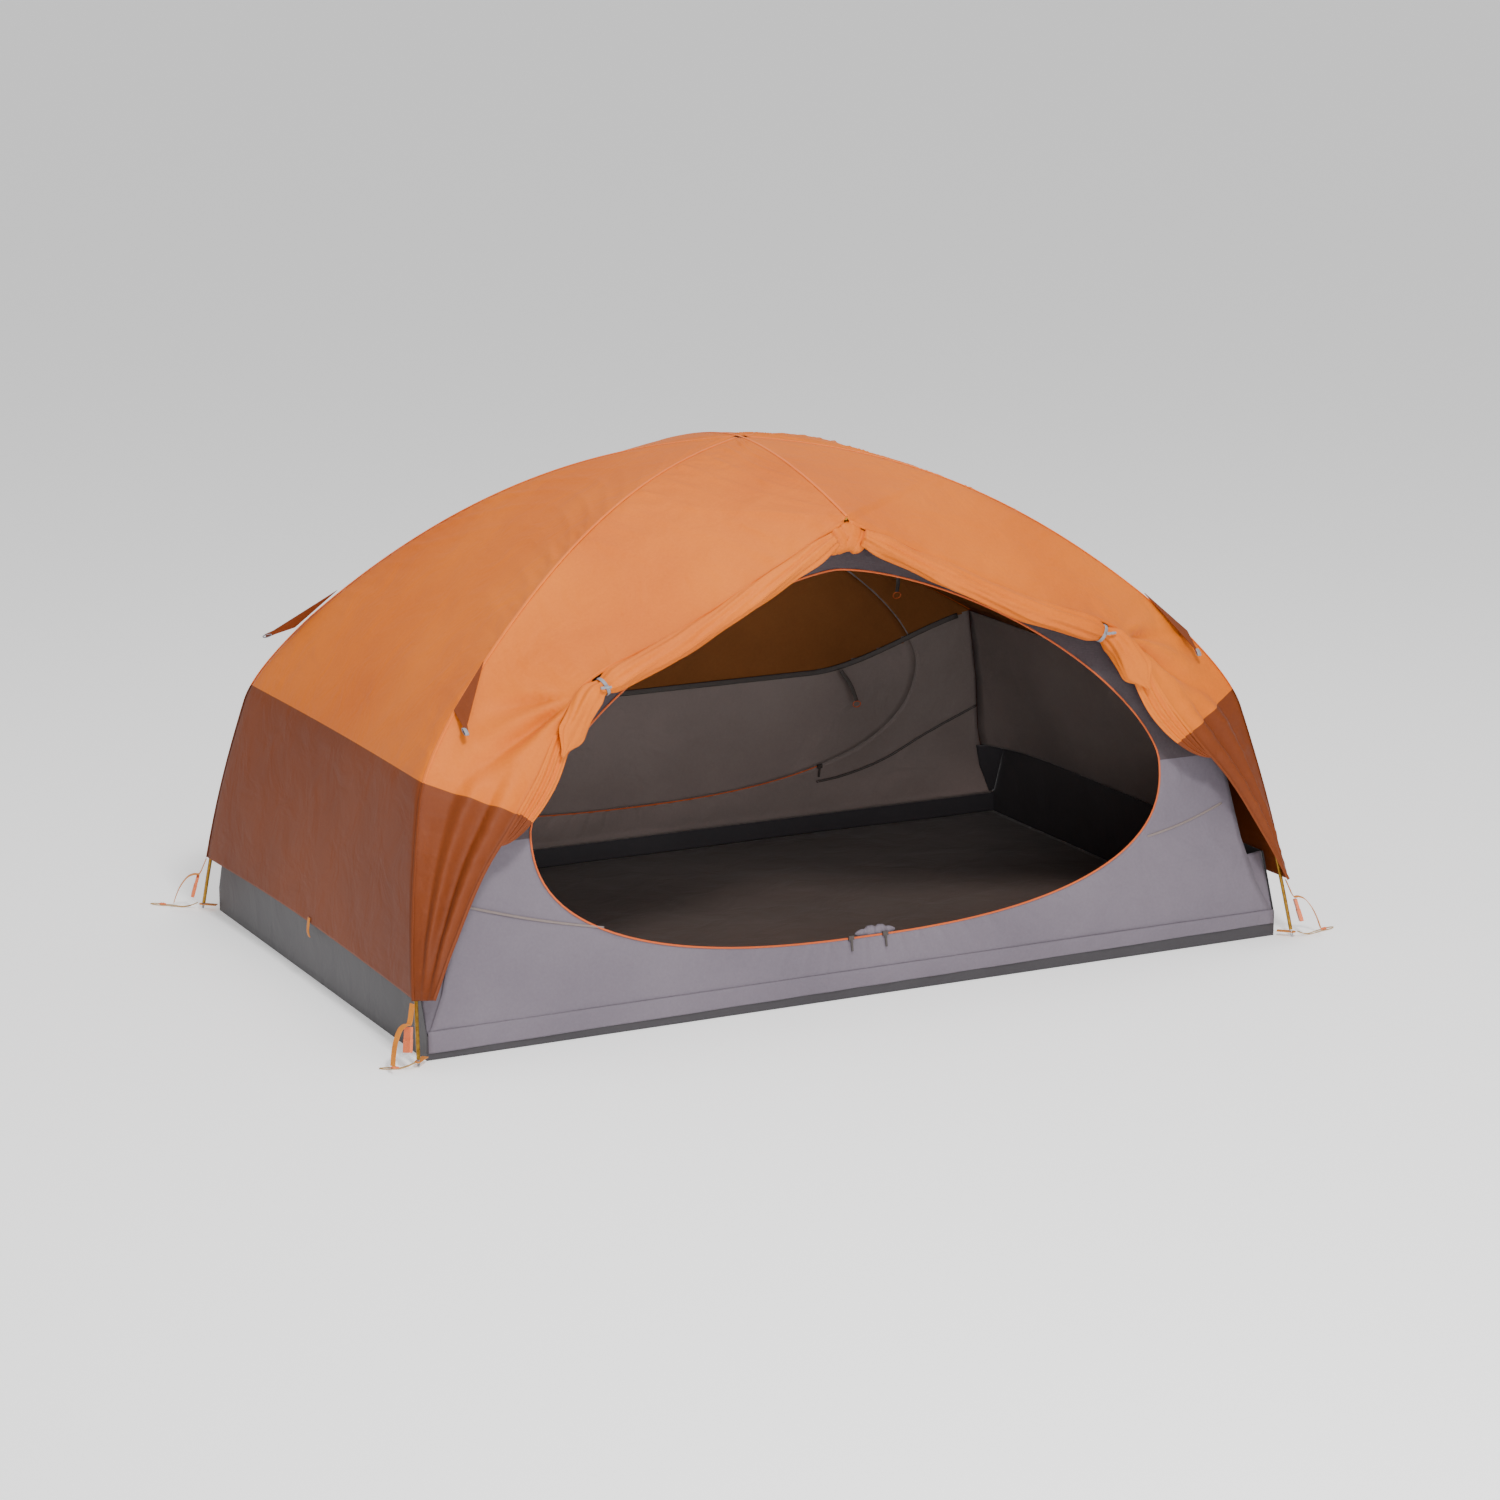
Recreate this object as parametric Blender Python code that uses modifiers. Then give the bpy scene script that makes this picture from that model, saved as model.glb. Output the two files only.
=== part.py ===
"""Two-person ridge dome tent: two crossing knee-bent poles, a short ridge pole, fly, inner tent.

Metres, +Z up. X runs along the floor's length, the front door faces -Y, and the origin is the
centre of the floor's underside, on the ground.
"""

import math

import bmesh
import bpy
import numpy as np
from mathutils import Matrix, Vector

# ---------------------------------------------------------------- driving dimensions

FLOOR_LENGTH = 2.235
FLOOR_WIDTH = 1.372
TUB_FRONT_HEIGHT = 0.058
TUB_END_HEIGHT = 0.200
TUB_THICKNESS = 0.0020
TUB_TAPER = 0.056  # how far each end wall's upper corner leans in

TIP_OUT_X = 0.0325  # pole foot beyond the floor's end
TIP_OUT_Y = 0.0330  # pole foot beyond the floor's side
KNEE_IN_X = 0.0675  # knee inside the floor's end
KNEE_IN_Y = 0.1400  # knee inside the floor's side
KNEE_HEIGHT = 0.630
APEX_HEIGHT = 1.195
ARCH_POWER = 2.1
LEG_BOW = 0.016
KNEE_BLEND = 0.12

POLE_DIAMETER = 0.009
RIDGE_DIAMETER = 0.008
CROSSING_GAP = 0.001
RIDGE_INSET = 0.141  # ridge pole's ends inside the floor's sides
RIDGE_DROP = 0.106
RIDGE_POWER = 1.7

TIP_DIAMETER = 0.0064
TIP_LENGTH = 0.0155
EYELET_CLEARANCE = 0.0020

FABRIC = 0.0016
SEAM_GAP = 0.0022
FLY_CLEARANCE = 0.0055  # from the pole's surface to the fly's seam
FLY_APEX_LIFT = 0.012
FLY_SAG = 0.078225  # a panel sags by a quarter of this times its width squared over the floor length
HEM_HEIGHT = 0.140
COLOUR_SEAM_HEIGHT = 0.590
EDGE_AHEAD = 0.075  # fly door edge in front of the inner front wall
VESTIBULE_DEPTH = 0.594
VESTIBULE_HEM = 0.060
BACK_PANEL_ROWS = 34  # close enough to follow the poles' bend at the knee
ZIP_WIDTH = 0.010

WALL_LEAN = 0.206  # how far the inner walls lean in from foot to WALL_TOP_HEIGHT
WALL_TOP_HEIGHT = 1.050
EAVE_IN_X = 0.1525  # inner walls' upper corners inside the floor's ends
WALL_EAVE_HEIGHT = 0.600
END_EAVE_IN_Y = 0.136
WALL_PEAK_HEIGHT = 1.035
WALL_TOP_POWER = 1.25
CEILING_SCALE = 0.97
CEILING_SAG = 0.020

DOOR_HALF_WIDTH = 0.825
DOOR_CENTRE_HEIGHT = 0.460
DOOR_RISE = 0.515
DOOR_DROP = 0.320
DOOR_TOP_POWER = 1.5
DOOR_BOTTOM_POWER = 2.5
DOOR_GAP = 0.0020
SLIDER_SIZE = (0.014, 0.006, 0.010)
SLIDER_LIFT = 0.0020
SLIDER_PULL = (0.005, 0.030, 0.002)
FRONT_SLIDER_X = (-0.050, 0.040)
BACK_SLIDER_X = 0.560
DROPPED_DOOR_SIZE = (0.075, 0.110, 1.050)  # height, depth and width of the heap
DROPPED_DOOR_X = 0.020
DROPPED_DOOR_IN_Y = 0.090

ROLL_THIN = 0.020
ROLL_THICK = 0.027
ROLL_GAP = 0.0035
ROLL_FORWARD = 0.35  # how far each roll hangs forward of straight below the edge

BUCKLE_WIDTH = 0.022
BUCKLE_THICKNESS = 0.0085
SOCKET_LENGTH = 0.030
PLUG_LENGTH = 0.026
PRONG_LENGTH = 0.015
BUCKLE_GAP = 0.0004
WEBBING_WIDTH = 0.015
WEBBING = 0.0015
TAB_HEIGHT = 0.0145
TAB_BEYOND_TIP = 0.012
CORD_DIAMETER = 0.0024
CORD_STANDOFF = 0.0040

CLEAR = 0.0003

HALF_LENGTH = FLOOR_LENGTH / 2
HALF_WIDTH = FLOOR_WIDTH / 2
WALL_EAVE_X = HALF_LENGTH - EAVE_IN_X
END_EAVE_Y = HALF_WIDTH - END_EAVE_IN_Y
RIDGE_HALF_SPAN = HALF_WIDTH - RIDGE_INSET
FLY_OFFSET = POLE_DIAMETER / 2 + FLY_CLEARANCE
POLE_TIP = Vector((HALF_LENGTH + TIP_OUT_X, HALF_WIDTH + TIP_OUT_Y, 0.0))
POLE_KNEE = Vector((HALF_LENGTH - KNEE_IN_X, HALF_WIDTH - KNEE_IN_Y, KNEE_HEIGHT))

CORNERS = {
    "front_left": (-1, -1),
    "front_right": (1, -1),
    "back_left": (-1, 1),
    "back_right": (1, 1),
}

# ---------------------------------------------------------------- scene and finishes


def clear_scene():
    for item in list(bpy.data.objects):
        bpy.data.objects.remove(item, do_unlink=True)


clear_scene()
PARTS = bpy.data.collections.new("ridge_dome_tent")
CUTTERS = bpy.data.collections.new("cutters")
bpy.context.scene.collection.children.link(PARTS)
bpy.context.scene.collection.children.link(CUTTERS)


def linear(value):
    """An sRGB value of 0 to 255 as a linear one."""
    share = value / 255
    return share / 12.92 if share <= 0.04045 else ((share + 0.055) / 1.055) ** 2.4


def finish(name, colour, roughness=0.7, metallic=0.0):
    made = bpy.data.materials.new(name)
    made.use_nodes = True
    shader = made.node_tree.nodes["Principled BSDF"]
    shader.inputs["Base Color"].default_value = (*[linear(c) for c in colour], 1.0)
    shader.inputs["Roughness"].default_value = roughness
    shader.inputs["Metallic"].default_value = metallic
    return made


FLY_ORANGE = finish("fly_orange", (214, 128, 78), 0.62)
FLY_RUST = finish("fly_rust", (132, 72, 45), 0.66)
WALL_GREY = finish("wall_grey", (133, 128, 140), 0.68)
TUB_CHARCOAL = finish("tub_charcoal", (80, 78, 82), 0.60)
MESH_BROWN = finish("mesh_brown", (105, 80, 66), 0.85)
POLE_GOLD = finish("pole_gold", (166, 124, 46), 0.32, 0.9)
TIP_METAL = finish("tip_metal", (150, 150, 152), 0.35, 1.0)
WEBBING_GOLD = finish("webbing_gold", (210, 145, 66), 0.75)
BUCKLE_ORANGE = finish("buckle_orange", (224, 112, 62), 0.45)
CORD_ORANGE = finish("cord_orange", (196, 118, 76), 0.75)
TRIM_GREY = finish("trim_grey", (128, 130, 136), 0.5)
ZIP_DARK = finish("zip_dark", (70, 62, 58), 0.55)

# ---------------------------------------------------------------- modelling helpers


def keep(name, data, material):
    made = bpy.data.objects.new(name, data)
    data.materials.append(material)
    PARTS.objects.link(made)
    return made


def thicken(item, thickness):
    shell = item.modifiers.new("thickness", "SOLIDIFY")
    shell.thickness = thickness
    shell.offset = 0.0


def sheet(name, surface, columns, rows, material, thickness=FABRIC):
    """A cloth panel: a grid laid on surface(u, v), with u and v from 0 to 1, given a thickness."""
    grid = bmesh.new()
    bmesh.ops.create_grid(grid, x_segments=columns, y_segments=rows, size=0.5)
    for vert in grid.verts:
        vert.co = surface(vert.co.x + 0.5, vert.co.y + 0.5)
    mesh = bpy.data.meshes.new(name)
    grid.to_mesh(mesh)
    grid.free()
    item = keep(name, mesh, material)
    thicken(item, thickness)
    return item


def joined_sheets(name, surfaces, columns, rows, material, thickness=FABRIC):
    """One cloth of several grids whose shared edges are welded."""
    whole = bmesh.new()
    for surface in surfaces:
        before = set(whole.verts)
        bmesh.ops.create_grid(whole, x_segments=columns, y_segments=rows, size=0.5)
        for vert in set(whole.verts) - before:
            vert.co = surface(vert.co.x + 0.5, vert.co.y + 0.5)
    bmesh.ops.remove_doubles(whole, verts=whole.verts, dist=0.0002)
    bmesh.ops.recalc_face_normals(whole, faces=whole.faces)
    mesh = bpy.data.meshes.new(name)
    whole.to_mesh(mesh)
    whole.free()
    item = keep(name, mesh, material)
    thicken(item, thickness)
    return item


def flat_outline(name, loops, frame, thickness, material):
    """A flat plate: closed outlines in the XY plane of frame, extruded by half its thickness each way."""
    curve = bpy.data.curves.new(name, "CURVE")
    curve.dimensions = "2D"
    curve.fill_mode = "BOTH"
    curve.extrude = thickness / 2
    for loop in loops:
        spline = curve.splines.new("POLY")
        spline.points.add(len(loop) - 1)
        for point, (x, y) in zip(spline.points, loop):
            point.co = (x, y, 0.0, 1.0)
        spline.use_cyclic_u = True
    item = keep(name, curve, material)
    item.matrix_world = frame
    return item


def tube(name, points, radius, material, resolution=2, radii=None):
    """A round tube along points, with filled caps."""
    curve = bpy.data.curves.new(name, "CURVE")
    curve.dimensions = "3D"
    curve.bevel_depth = radius
    curve.bevel_resolution = resolution
    curve.use_fill_caps = True
    spline = curve.splines.new("POLY")
    spline.points.add(len(points) - 1)
    for index, (point, place) in enumerate(zip(spline.points, points)):
        point.co = (*place, 1.0)
        if radii is not None:
            point.radius = radii[index] / radius
    return keep(name, curve, material)


def cube_mesh(name, size):
    shape = bmesh.new()
    bmesh.ops.create_cube(shape, size=1.0)
    bmesh.ops.scale(shape, vec=size, verts=shape.verts)
    mesh = bpy.data.meshes.new(name)
    shape.to_mesh(mesh)
    shape.free()
    return mesh


def block(name, size, frame, material, bevel=0.0):
    item = keep(name, cube_mesh(name, size), material)
    item.matrix_world = frame
    if bevel:
        edge = item.modifiers.new("edge", "BEVEL")
        edge.width = bevel
        edge.segments = 1
    return item


def cutter(name, data, frame):
    item = bpy.data.objects.new(name, data)
    item.matrix_world = frame
    item.hide_render = True
    item.display_type = "WIRE"
    CUTTERS.objects.link(item)
    return item


def combine(item, tool, operation="DIFFERENCE"):
    step = item.modifiers.new(operation.lower(), "BOOLEAN")
    step.operation = operation
    step.object = tool
    step.solver = "EXACT"


def hermite(knots, values, where):
    """A smooth curve that passes each of values at its knot."""
    knots = np.asarray(knots, float)
    values = np.asarray(values, float)
    slopes = np.gradient(values, knots, axis=0)
    index = int(np.clip(np.searchsorted(knots, where) - 1, 0, len(knots) - 2))
    step = knots[index + 1] - knots[index]
    t = (where - knots[index]) / step
    start = values[index] * (1 + 2 * t) * (1 - t) ** 2 + slopes[index] * step * t * (1 - t) ** 2
    end = values[index + 1] * t * t * (3 - 2 * t) + slopes[index + 1] * step * t * t * (t - 1)
    return start + end


def smooth_route(points, count):
    """count points evenly spaced along a smooth curve through the route's own points."""
    points = np.asarray(points, float)
    gaps = np.linalg.norm(np.diff(points, axis=0), axis=1)
    knots = np.concatenate([[0.0], np.cumsum(gaps)])
    return [hermite(knots, points, place) for place in np.linspace(0.0, knots[-1], count)]


def axes(x_axis, y_axis, origin):
    """A right-handed frame from two directions and an origin."""
    x_axis = Vector(x_axis).normalized()
    z_axis = x_axis.cross(Vector(y_axis)).normalized()
    y_axis = z_axis.cross(x_axis)
    frame = Matrix((x_axis, y_axis, z_axis)).transposed().to_4x4()
    frame.translation = Vector(origin)
    return frame


# ---------------------------------------------------------------- lines of the frame


def raw_pole(s):
    """The main pole's line in the quarter where x and y are positive: foot 0, knee 1, apex 2."""
    if s <= 1:
        point = POLE_TIP.lerp(POLE_KNEE, s)
        return point + Vector((LEG_BOW * math.sin(math.pi * s), 0, 0))
    share = 2 - s
    flat = Vector((POLE_KNEE.x, POLE_KNEE.y, 0)) * share
    flat.z = APEX_HEIGHT - (APEX_HEIGHT - KNEE_HEIGHT) * share**ARCH_POWER
    return flat


def pole_point(s):
    """raw_pole with its knee rounded by a parabola."""
    low, high = 1 - KNEE_BLEND, 1 + KNEE_BLEND
    if not low < s < high:
        return raw_pole(s)
    t = (s - low) / (high - low)
    start, end = raw_pole(low), raw_pole(high)
    return start * (1 - t) ** 2 + raw_pole(1) * 2 * t * (1 - t) + end * t * t


def pole_outward(s):
    step = 0.004
    tangent = (pole_point(min(s + step, 2.0)) - pole_point(max(s - step, 0.0))).normalized()
    outward = pole_point(s) - Vector((0, 0, KNEE_HEIGHT * 0.7))
    outward -= tangent * outward.dot(tangent)
    return outward.normalized()


def seam_point(s):
    """The fly's seam outside the pole, lifted near the apex to clear the crossing."""
    lift = FLY_APEX_LIFT * max(0.0, s - 1) ** 8
    return pole_point(s) + pole_outward(s) * (FLY_OFFSET + lift)


def ridge_height(y):
    apex = APEX_HEIGHT + POLE_DIAMETER + CROSSING_GAP * 1.5 + RIDGE_DIAMETER / 2
    return apex - RIDGE_DROP * (abs(y) / RIDGE_HALF_SPAN) ** RIDGE_POWER


def wall_y(z):
    """Distance of the inner front and back walls from the middle at height z."""
    slope = WALL_LEAN / (WALL_TOP_HEIGHT - TUB_FRONT_HEIGHT)
    return HALF_WIDTH - slope * (z - TUB_FRONT_HEIGHT)


HEM_S = HEM_HEIGHT / KNEE_HEIGHT
COLOUR_S = COLOUR_SEAM_HEIGHT / KNEE_HEIGHT
RIDGE_S = 1.60
APEX_S = 1.985
HALF_SEAM_S = SEAM_GAP / KNEE_HEIGHT

# The open fly door's edge, from its corner up to the ridge end: place along the pole, x and height.
DOOR_EDGE = [
    (HEM_S, HALF_LENGTH + 0.002, HEM_HEIGHT + 0.015),
    (0.50, HALF_LENGTH - 0.058, 0.270),
    (0.75, HALF_LENGTH - 0.148, 0.420),
    (COLOUR_S, HALF_LENGTH - 0.238, 0.530),
    (1.03, HALF_LENGTH - 0.298, 0.610),
    (1.12, HALF_LENGTH - 0.352, 0.700),
    (1.20, HALF_LENGTH - 0.418, 0.790),
    (1.33, 0.450, 0.890),
    (1.47, 0.200, 1.005),
    (RIDGE_S, 0.002, 1.100),
]


def door_edge(s):
    knots = [row[0] for row in DOOR_EDGE]
    x, z = hermite(knots, [row[1:] for row in DOOR_EDGE], s)
    return Vector((x, wall_y(z) + EDGE_AHEAD, z))


def ridge_seam(s):
    """The fly's line over the ridge pole, from its end at RIDGE_S to the apex at 2."""
    y = (RIDGE_HALF_SPAN + 0.008) * (2 - s) / (2 - RIDGE_S)
    return Vector((0.0, y, ridge_height(y) + RIDGE_DIAMETER / 2 + FABRIC + 0.001))


def front_line(s):
    return door_edge(s) if s < RIDGE_S else ridge_seam(s)


VESTIBULE_TOP = ridge_seam(RIDGE_S)
VESTIBULE_FOOT = Vector((0.0, HALF_WIDTH + VESTIBULE_DEPTH, VESTIBULE_HEM))


def back_line(s):
    if s >= RIDGE_S:
        return ridge_seam(s)
    return VESTIBULE_FOOT.lerp(VESTIBULE_TOP, (s - HEM_S) / (RIDGE_S - HEM_S))


# ---------------------------------------------------------------- fly


def signed(point, side_x, side_y):
    return Vector((point.x * side_x, point.y * side_y, point.z))


def between(start, end, v, sag):
    """A point between two seams, drawn in by the cloth's own tension."""
    span = end - start
    width = span.length
    inset = SEAM_GAP / width
    share = inset + (1 - 2 * inset) * v
    point = start + span * share
    middle = Vector((0, 0, KNEE_HEIGHT * 0.5))
    inward = (middle - point).normalized()
    return point + inward * sag * width * width * share * (1 - share) / FLOOR_LENGTH


def end_panel(side, low, high):
    def surface(u, v):
        s = low + (high - low) * u
        seam = seam_point(s)
        return between(signed(seam, side, -1), signed(seam, side, 1), v, FLY_SAG)

    return surface


def side_panel(side_x, side_y, line, low, high, middle_gap=0.0):
    def surface(u, v):
        s = low + (high - low) * u
        inner = signed(line(s), side_x, side_y)
        inner.x += side_x * middle_gap
        return between(signed(seam_point(s), side_x, side_y), inner, v, FLY_SAG)

    return surface


def make_fly():
    upper = (COLOUR_S + HALF_SEAM_S, APEX_S)
    lower = (HEM_S, COLOUR_S - HALF_SEAM_S)
    for side, word in ((-1, "left"), (1, "right")):
        sheet(f"fly_end_{word}_upper", end_panel(side, *upper), 16, 8, FLY_ORANGE)
        sheet(f"fly_end_{word}_lower", end_panel(side, *lower), 6, 8, FLY_RUST)
        front = side_panel(side, -1, front_line, *upper)
        sheet(f"fly_front_{word}_upper", front, 20, 6, FLY_ORANGE)
        front = side_panel(side, -1, front_line, *lower)
        sheet(f"fly_front_{word}_lower", front, 7, 4, FLY_RUST)
        gap = ZIP_WIDTH / 2
        back = side_panel(side, 1, back_line, HEM_S, APEX_S, gap)
        sheet(f"fly_back_{word}", back, BACK_PANEL_ROWS, 8, FLY_ORANGE)


def roll_line(side):
    stations = np.linspace(RIDGE_S - 0.03, 1.185, 12)
    for index, s in enumerate(stations):
        radius = ROLL_THIN + (ROLL_THICK - ROLL_THIN) * index / (len(stations) - 1)
        tangent = (door_edge(s + 0.01) - door_edge(s - 0.01)).normalized()
        below = Vector((0, ROLL_FORWARD, -1))
        below = (below - tangent * below.dot(tangent)).normalized()
        yield signed(door_edge(s) + below * (radius + ROLL_GAP), side, -1), radius


def make_rolls():
    """The two halves of the front door, each rolled and tied along the open edge."""
    for side, word in ((-1, "left"), (1, "right")):
        rows = list(roll_line(side))
        radii = [radius for _, radius in rows]
        tube(f"door_roll_{word}", [p for p, _ in rows], ROLL_THICK, FLY_ORANGE, 3, radii)
        point, radius = rows[-2]
        place = point + Vector((0, -(radius + 0.006), radius * 0.3))
        profile = turned_profile([(0.0030, 0.013), (0.0038, 0.005), (0.0026, 0.0)])
        along = axes((0, 0, 1), (0, 1, 0), place)
        turned(f"roll_toggle_{word}", profile, along, TRIM_GREY)


def turned_profile(half):
    """A profile mirrored about its middle: radius and height, top to bottom."""
    return [(0.0, half[0][1])] + half + [(r, -z) for r, z in reversed(half[:-1])] + [(0.0, -half[0][1])]


def turned(name, profile, frame, material, steps=12):
    shape = bmesh.new()
    verts = [shape.verts.new((radius, 0, height)) for radius, height in profile]
    for first, second in zip(verts, verts[1:]):
        shape.edges.new((first, second))
    mesh = bpy.data.meshes.new(name)
    shape.to_mesh(mesh)
    shape.free()
    item = keep(name, mesh, material)
    item.matrix_world = frame
    spin = item.modifiers.new("spin", "SCREW")
    spin.steps = steps
    spin.render_steps = steps
    spin.use_merge_vertices = True
    spin.merge_threshold = 0.0001
    return item


ZIP_ALONG = (VESTIBULE_TOP - VESTIBULE_FOOT).normalized()


def make_vestibule_zip():
    """The closed zip down the middle of the back vestibule, with its slider parked at the hem."""
    margin = 0.004
    foot = VESTIBULE_FOOT + ZIP_ALONG * margin
    top = VESTIBULE_TOP - ZIP_ALONG * margin
    length = (top - foot).length
    frame = axes((1, 0, 0), ZIP_ALONG, (foot + top) / 2)
    block("vestibule_zip", (ZIP_WIDTH - 2 * CLEAR, length, FABRIC), frame, ZIP_DARK)
    normal = Vector((1, 0, 0)).cross(ZIP_ALONG)
    place = foot + ZIP_ALONG * 0.016 + normal * (FABRIC / 2 + SLIDER_LIFT + SLIDER_SIZE[1] / 2)
    slider("vestibule_slider", axes((1, 0, 0), ZIP_ALONG, place))


def slider(name, frame):
    """A zip slider with its pull: X across the zip, Y along it, Z out of the cloth."""
    width, depth, length = SLIDER_SIZE
    item = block(name, (width, length, depth), frame, ZIP_DARK)
    pull = cube_mesh(f"{name}_pull_shape", SLIDER_PULL)
    shift = Matrix.Translation((0, -0.016, depth * 0.3))
    combine(item, cutter(f"{name}_pull", pull, frame @ shift), "UNION")


# ---------------------------------------------------------------- poles


def make_poles():
    drop = POLE_DIAMETER / 2 + CROSSING_GAP / 2
    start = (TIP_LENGTH + 0.0015) / KNEE_HEIGHT
    leg, knee, arch = np.linspace(start, 0.85, 8), np.linspace(0.90, 1.10, 5), np.linspace(1.18, 1.95, 10)
    stations = np.concatenate([leg, knee, arch])
    for name, side, level in (
        ("pole_front_left_to_back_right", 1, -drop),
        ("pole_front_right_to_back_left", -1, drop),
    ):
        half = []
        for s in stations:
            point = signed(pole_point(s), 1, side)
            point.z += level * max(0.0, s - 1) ** 4
            half.append(point)
        middle = Vector((0, 0, APEX_HEIGHT + level))
        other = [Vector((-p.x, -p.y, p.z)) for p in half]
        tube(name, half + [middle] + other[::-1], POLE_DIAMETER / 2, POLE_GOLD, 3)
    ridge = []
    for y in np.linspace(-RIDGE_HALF_SPAN, RIDGE_HALF_SPAN, 25):
        ridge.append((0.0, y, ridge_height(y)))
    tube("ridge_pole", ridge, RIDGE_DIAMETER / 2, POLE_GOLD, 3)
    for corner, (side_x, side_y) in CORNERS.items():
        down = (pole_point(0) - pole_point(0.05)).normalized()
        down = Vector((down.x * side_x, down.y * side_y, down.z))
        foot = signed(pole_point(0), side_x, side_y) + Vector((0, 0, 0.0014))
        radius = TIP_DIAMETER / 2
        profile = [(0.0, TIP_LENGTH - 0.0014), (radius, TIP_LENGTH - 0.0014)]
        profile += [(radius, 0.0015), (radius * 0.7, 0.0002), (0.0, 0.0)]
        across = down.orthogonal()
        turned(f"pole_tip_{corner}", profile, axes(across, -down.cross(across), foot), TIP_METAL)


def make_crossing_clip():
    """The saddle clip that hangs the inner tent from the lower pole where the poles cross."""
    centre = Vector((0, 0, APEX_HEIGHT - POLE_DIAMETER / 2 - CROSSING_GAP / 2))
    shape = bmesh.new()
    bmesh.ops.create_cone(shape, cap_ends=True, segments=20, radius1=0.012, radius2=0.012, depth=0.012)
    mesh = bpy.data.meshes.new("crossing_clip")
    shape.to_mesh(mesh)
    shape.free()
    item = keep("crossing_clip", mesh, TRIM_GREY)
    item.location = centre - Vector((0, 0, 0.0065))
    groove = bmesh.new()
    radius = POLE_DIAMETER / 2 + CLEAR * 2
    bmesh.ops.create_cone(groove, cap_ends=True, segments=16, radius1=radius, radius2=radius, depth=0.05)
    cut = bpy.data.meshes.new("clip_groove")
    groove.to_mesh(cut)
    groove.free()
    along = Vector((POLE_KNEE.x, POLE_KNEE.y, 0))
    combine(item, cutter("clip_groove", cut, axes((0, 0, 1), along.cross(Vector((0, 0, 1))), centre)))


# ---------------------------------------------------------------- inner tent


def make_tub():
    """The waterproof floor: a base, low front and back walls, and higher end walls, in one piece."""
    height = TUB_END_HEIGHT
    item = block(
        "floor_tub",
        (FLOOR_LENGTH, FLOOR_WIDTH, height),
        Matrix.Translation((0, 0, height / 2)),
        TUB_CHARCOAL,
    )
    inside = (FLOOR_LENGTH - 2 * TUB_THICKNESS, FLOOR_WIDTH - 2 * TUB_THICKNESS, height)
    hollow = cube_mesh("tub_hollow", inside)
    combine(item, cutter("tub_hollow", hollow, Matrix.Translation((0, 0, height / 2 + TUB_THICKNESS))))
    low = (FLOOR_LENGTH - 2 * TUB_THICKNESS, FLOOR_WIDTH + 0.02, height)
    notch = cube_mesh("tub_notch", low)
    combine(item, cutter("tub_notch", notch, Matrix.Translation((0, 0, height / 2 + TUB_FRONT_HEIGHT))))
    for side, word in ((-1, "front"), (1, "back")):
        low = Vector((0, side * HALF_WIDTH, TUB_FRONT_HEIGHT))
        high = Vector((0, side * (HALF_WIDTH - TUB_TAPER), height))
        frame = axes((1, 0, 0), high - low, low)
        outside = frame.col[2].xyz * (-side * height / 2)
        frame.translation = low + outside
        taper = cube_mesh(f"tub_taper_shape_{word}", (FLOOR_LENGTH + 0.02, 2 * height, height))
        combine(item, cutter(f"tub_taper_{word}", taper, frame))


def door_radius(angle):
    """Distance from the door's centre to its edge, in the direction of angle."""
    rise, power = (DOOR_RISE, DOOR_TOP_POWER) if math.sin(angle) > 0 else (DOOR_DROP, DOOR_BOTTOM_POWER)
    across = abs(math.cos(angle) / DOOR_HALF_WIDTH) ** power
    up = abs(math.sin(angle) / rise) ** power
    return (across + up) ** (-1 / power)


def door_loop(count, shrink=0.0):
    loop = []
    for index in range(count):
        angle = 2 * math.pi * index / count
        radius = door_radius(angle) - shrink
        loop.append((radius * math.cos(angle), DOOR_CENTRE_HEIGHT + radius * math.sin(angle)))
    return loop


def wall_outline():
    """One inner wall seen from in front: x and height, anticlockwise from the foot of its left edge."""
    foot = TUB_FRONT_HEIGHT + 2 * CLEAR
    edge = [
        (HALF_LENGTH - TUB_THICKNESS - 0.001, foot),
        (HALF_LENGTH - 0.045, 0.140),
        (HALF_LENGTH - 0.078, 0.250),
        (HALF_LENGTH - 0.104, 0.400),
        (WALL_EAVE_X, WALL_EAVE_HEIGHT),
    ]
    right = edge[:-1]
    for share in np.linspace(1.0, 0.0, 13):
        right.append((WALL_EAVE_X * share, wall_top(share)))
    return right + [(-x, z) for x, z in reversed(right[:-1])]


def wall_top(share):
    return WALL_EAVE_HEIGHT + (WALL_PEAK_HEIGHT - WALL_EAVE_HEIGHT) * (1 - share**WALL_TOP_POWER)


def wall_frame(side):
    """The plane of the front (-1) or back (1) wall; its Y climbs the wall and its origin is at z 0."""
    foot = Vector((0, side * wall_y(0), 0))
    top = Vector((0, side * wall_y(1), 1))
    return axes((-side, 0, 0), top - foot, foot)


def up_the_wall(loop):
    """Heights turned into distances along the leaning wall."""
    stretch = math.hypot(1, wall_y(0) - wall_y(1))
    return [(x, z * stretch) for x, z in loop]


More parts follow.
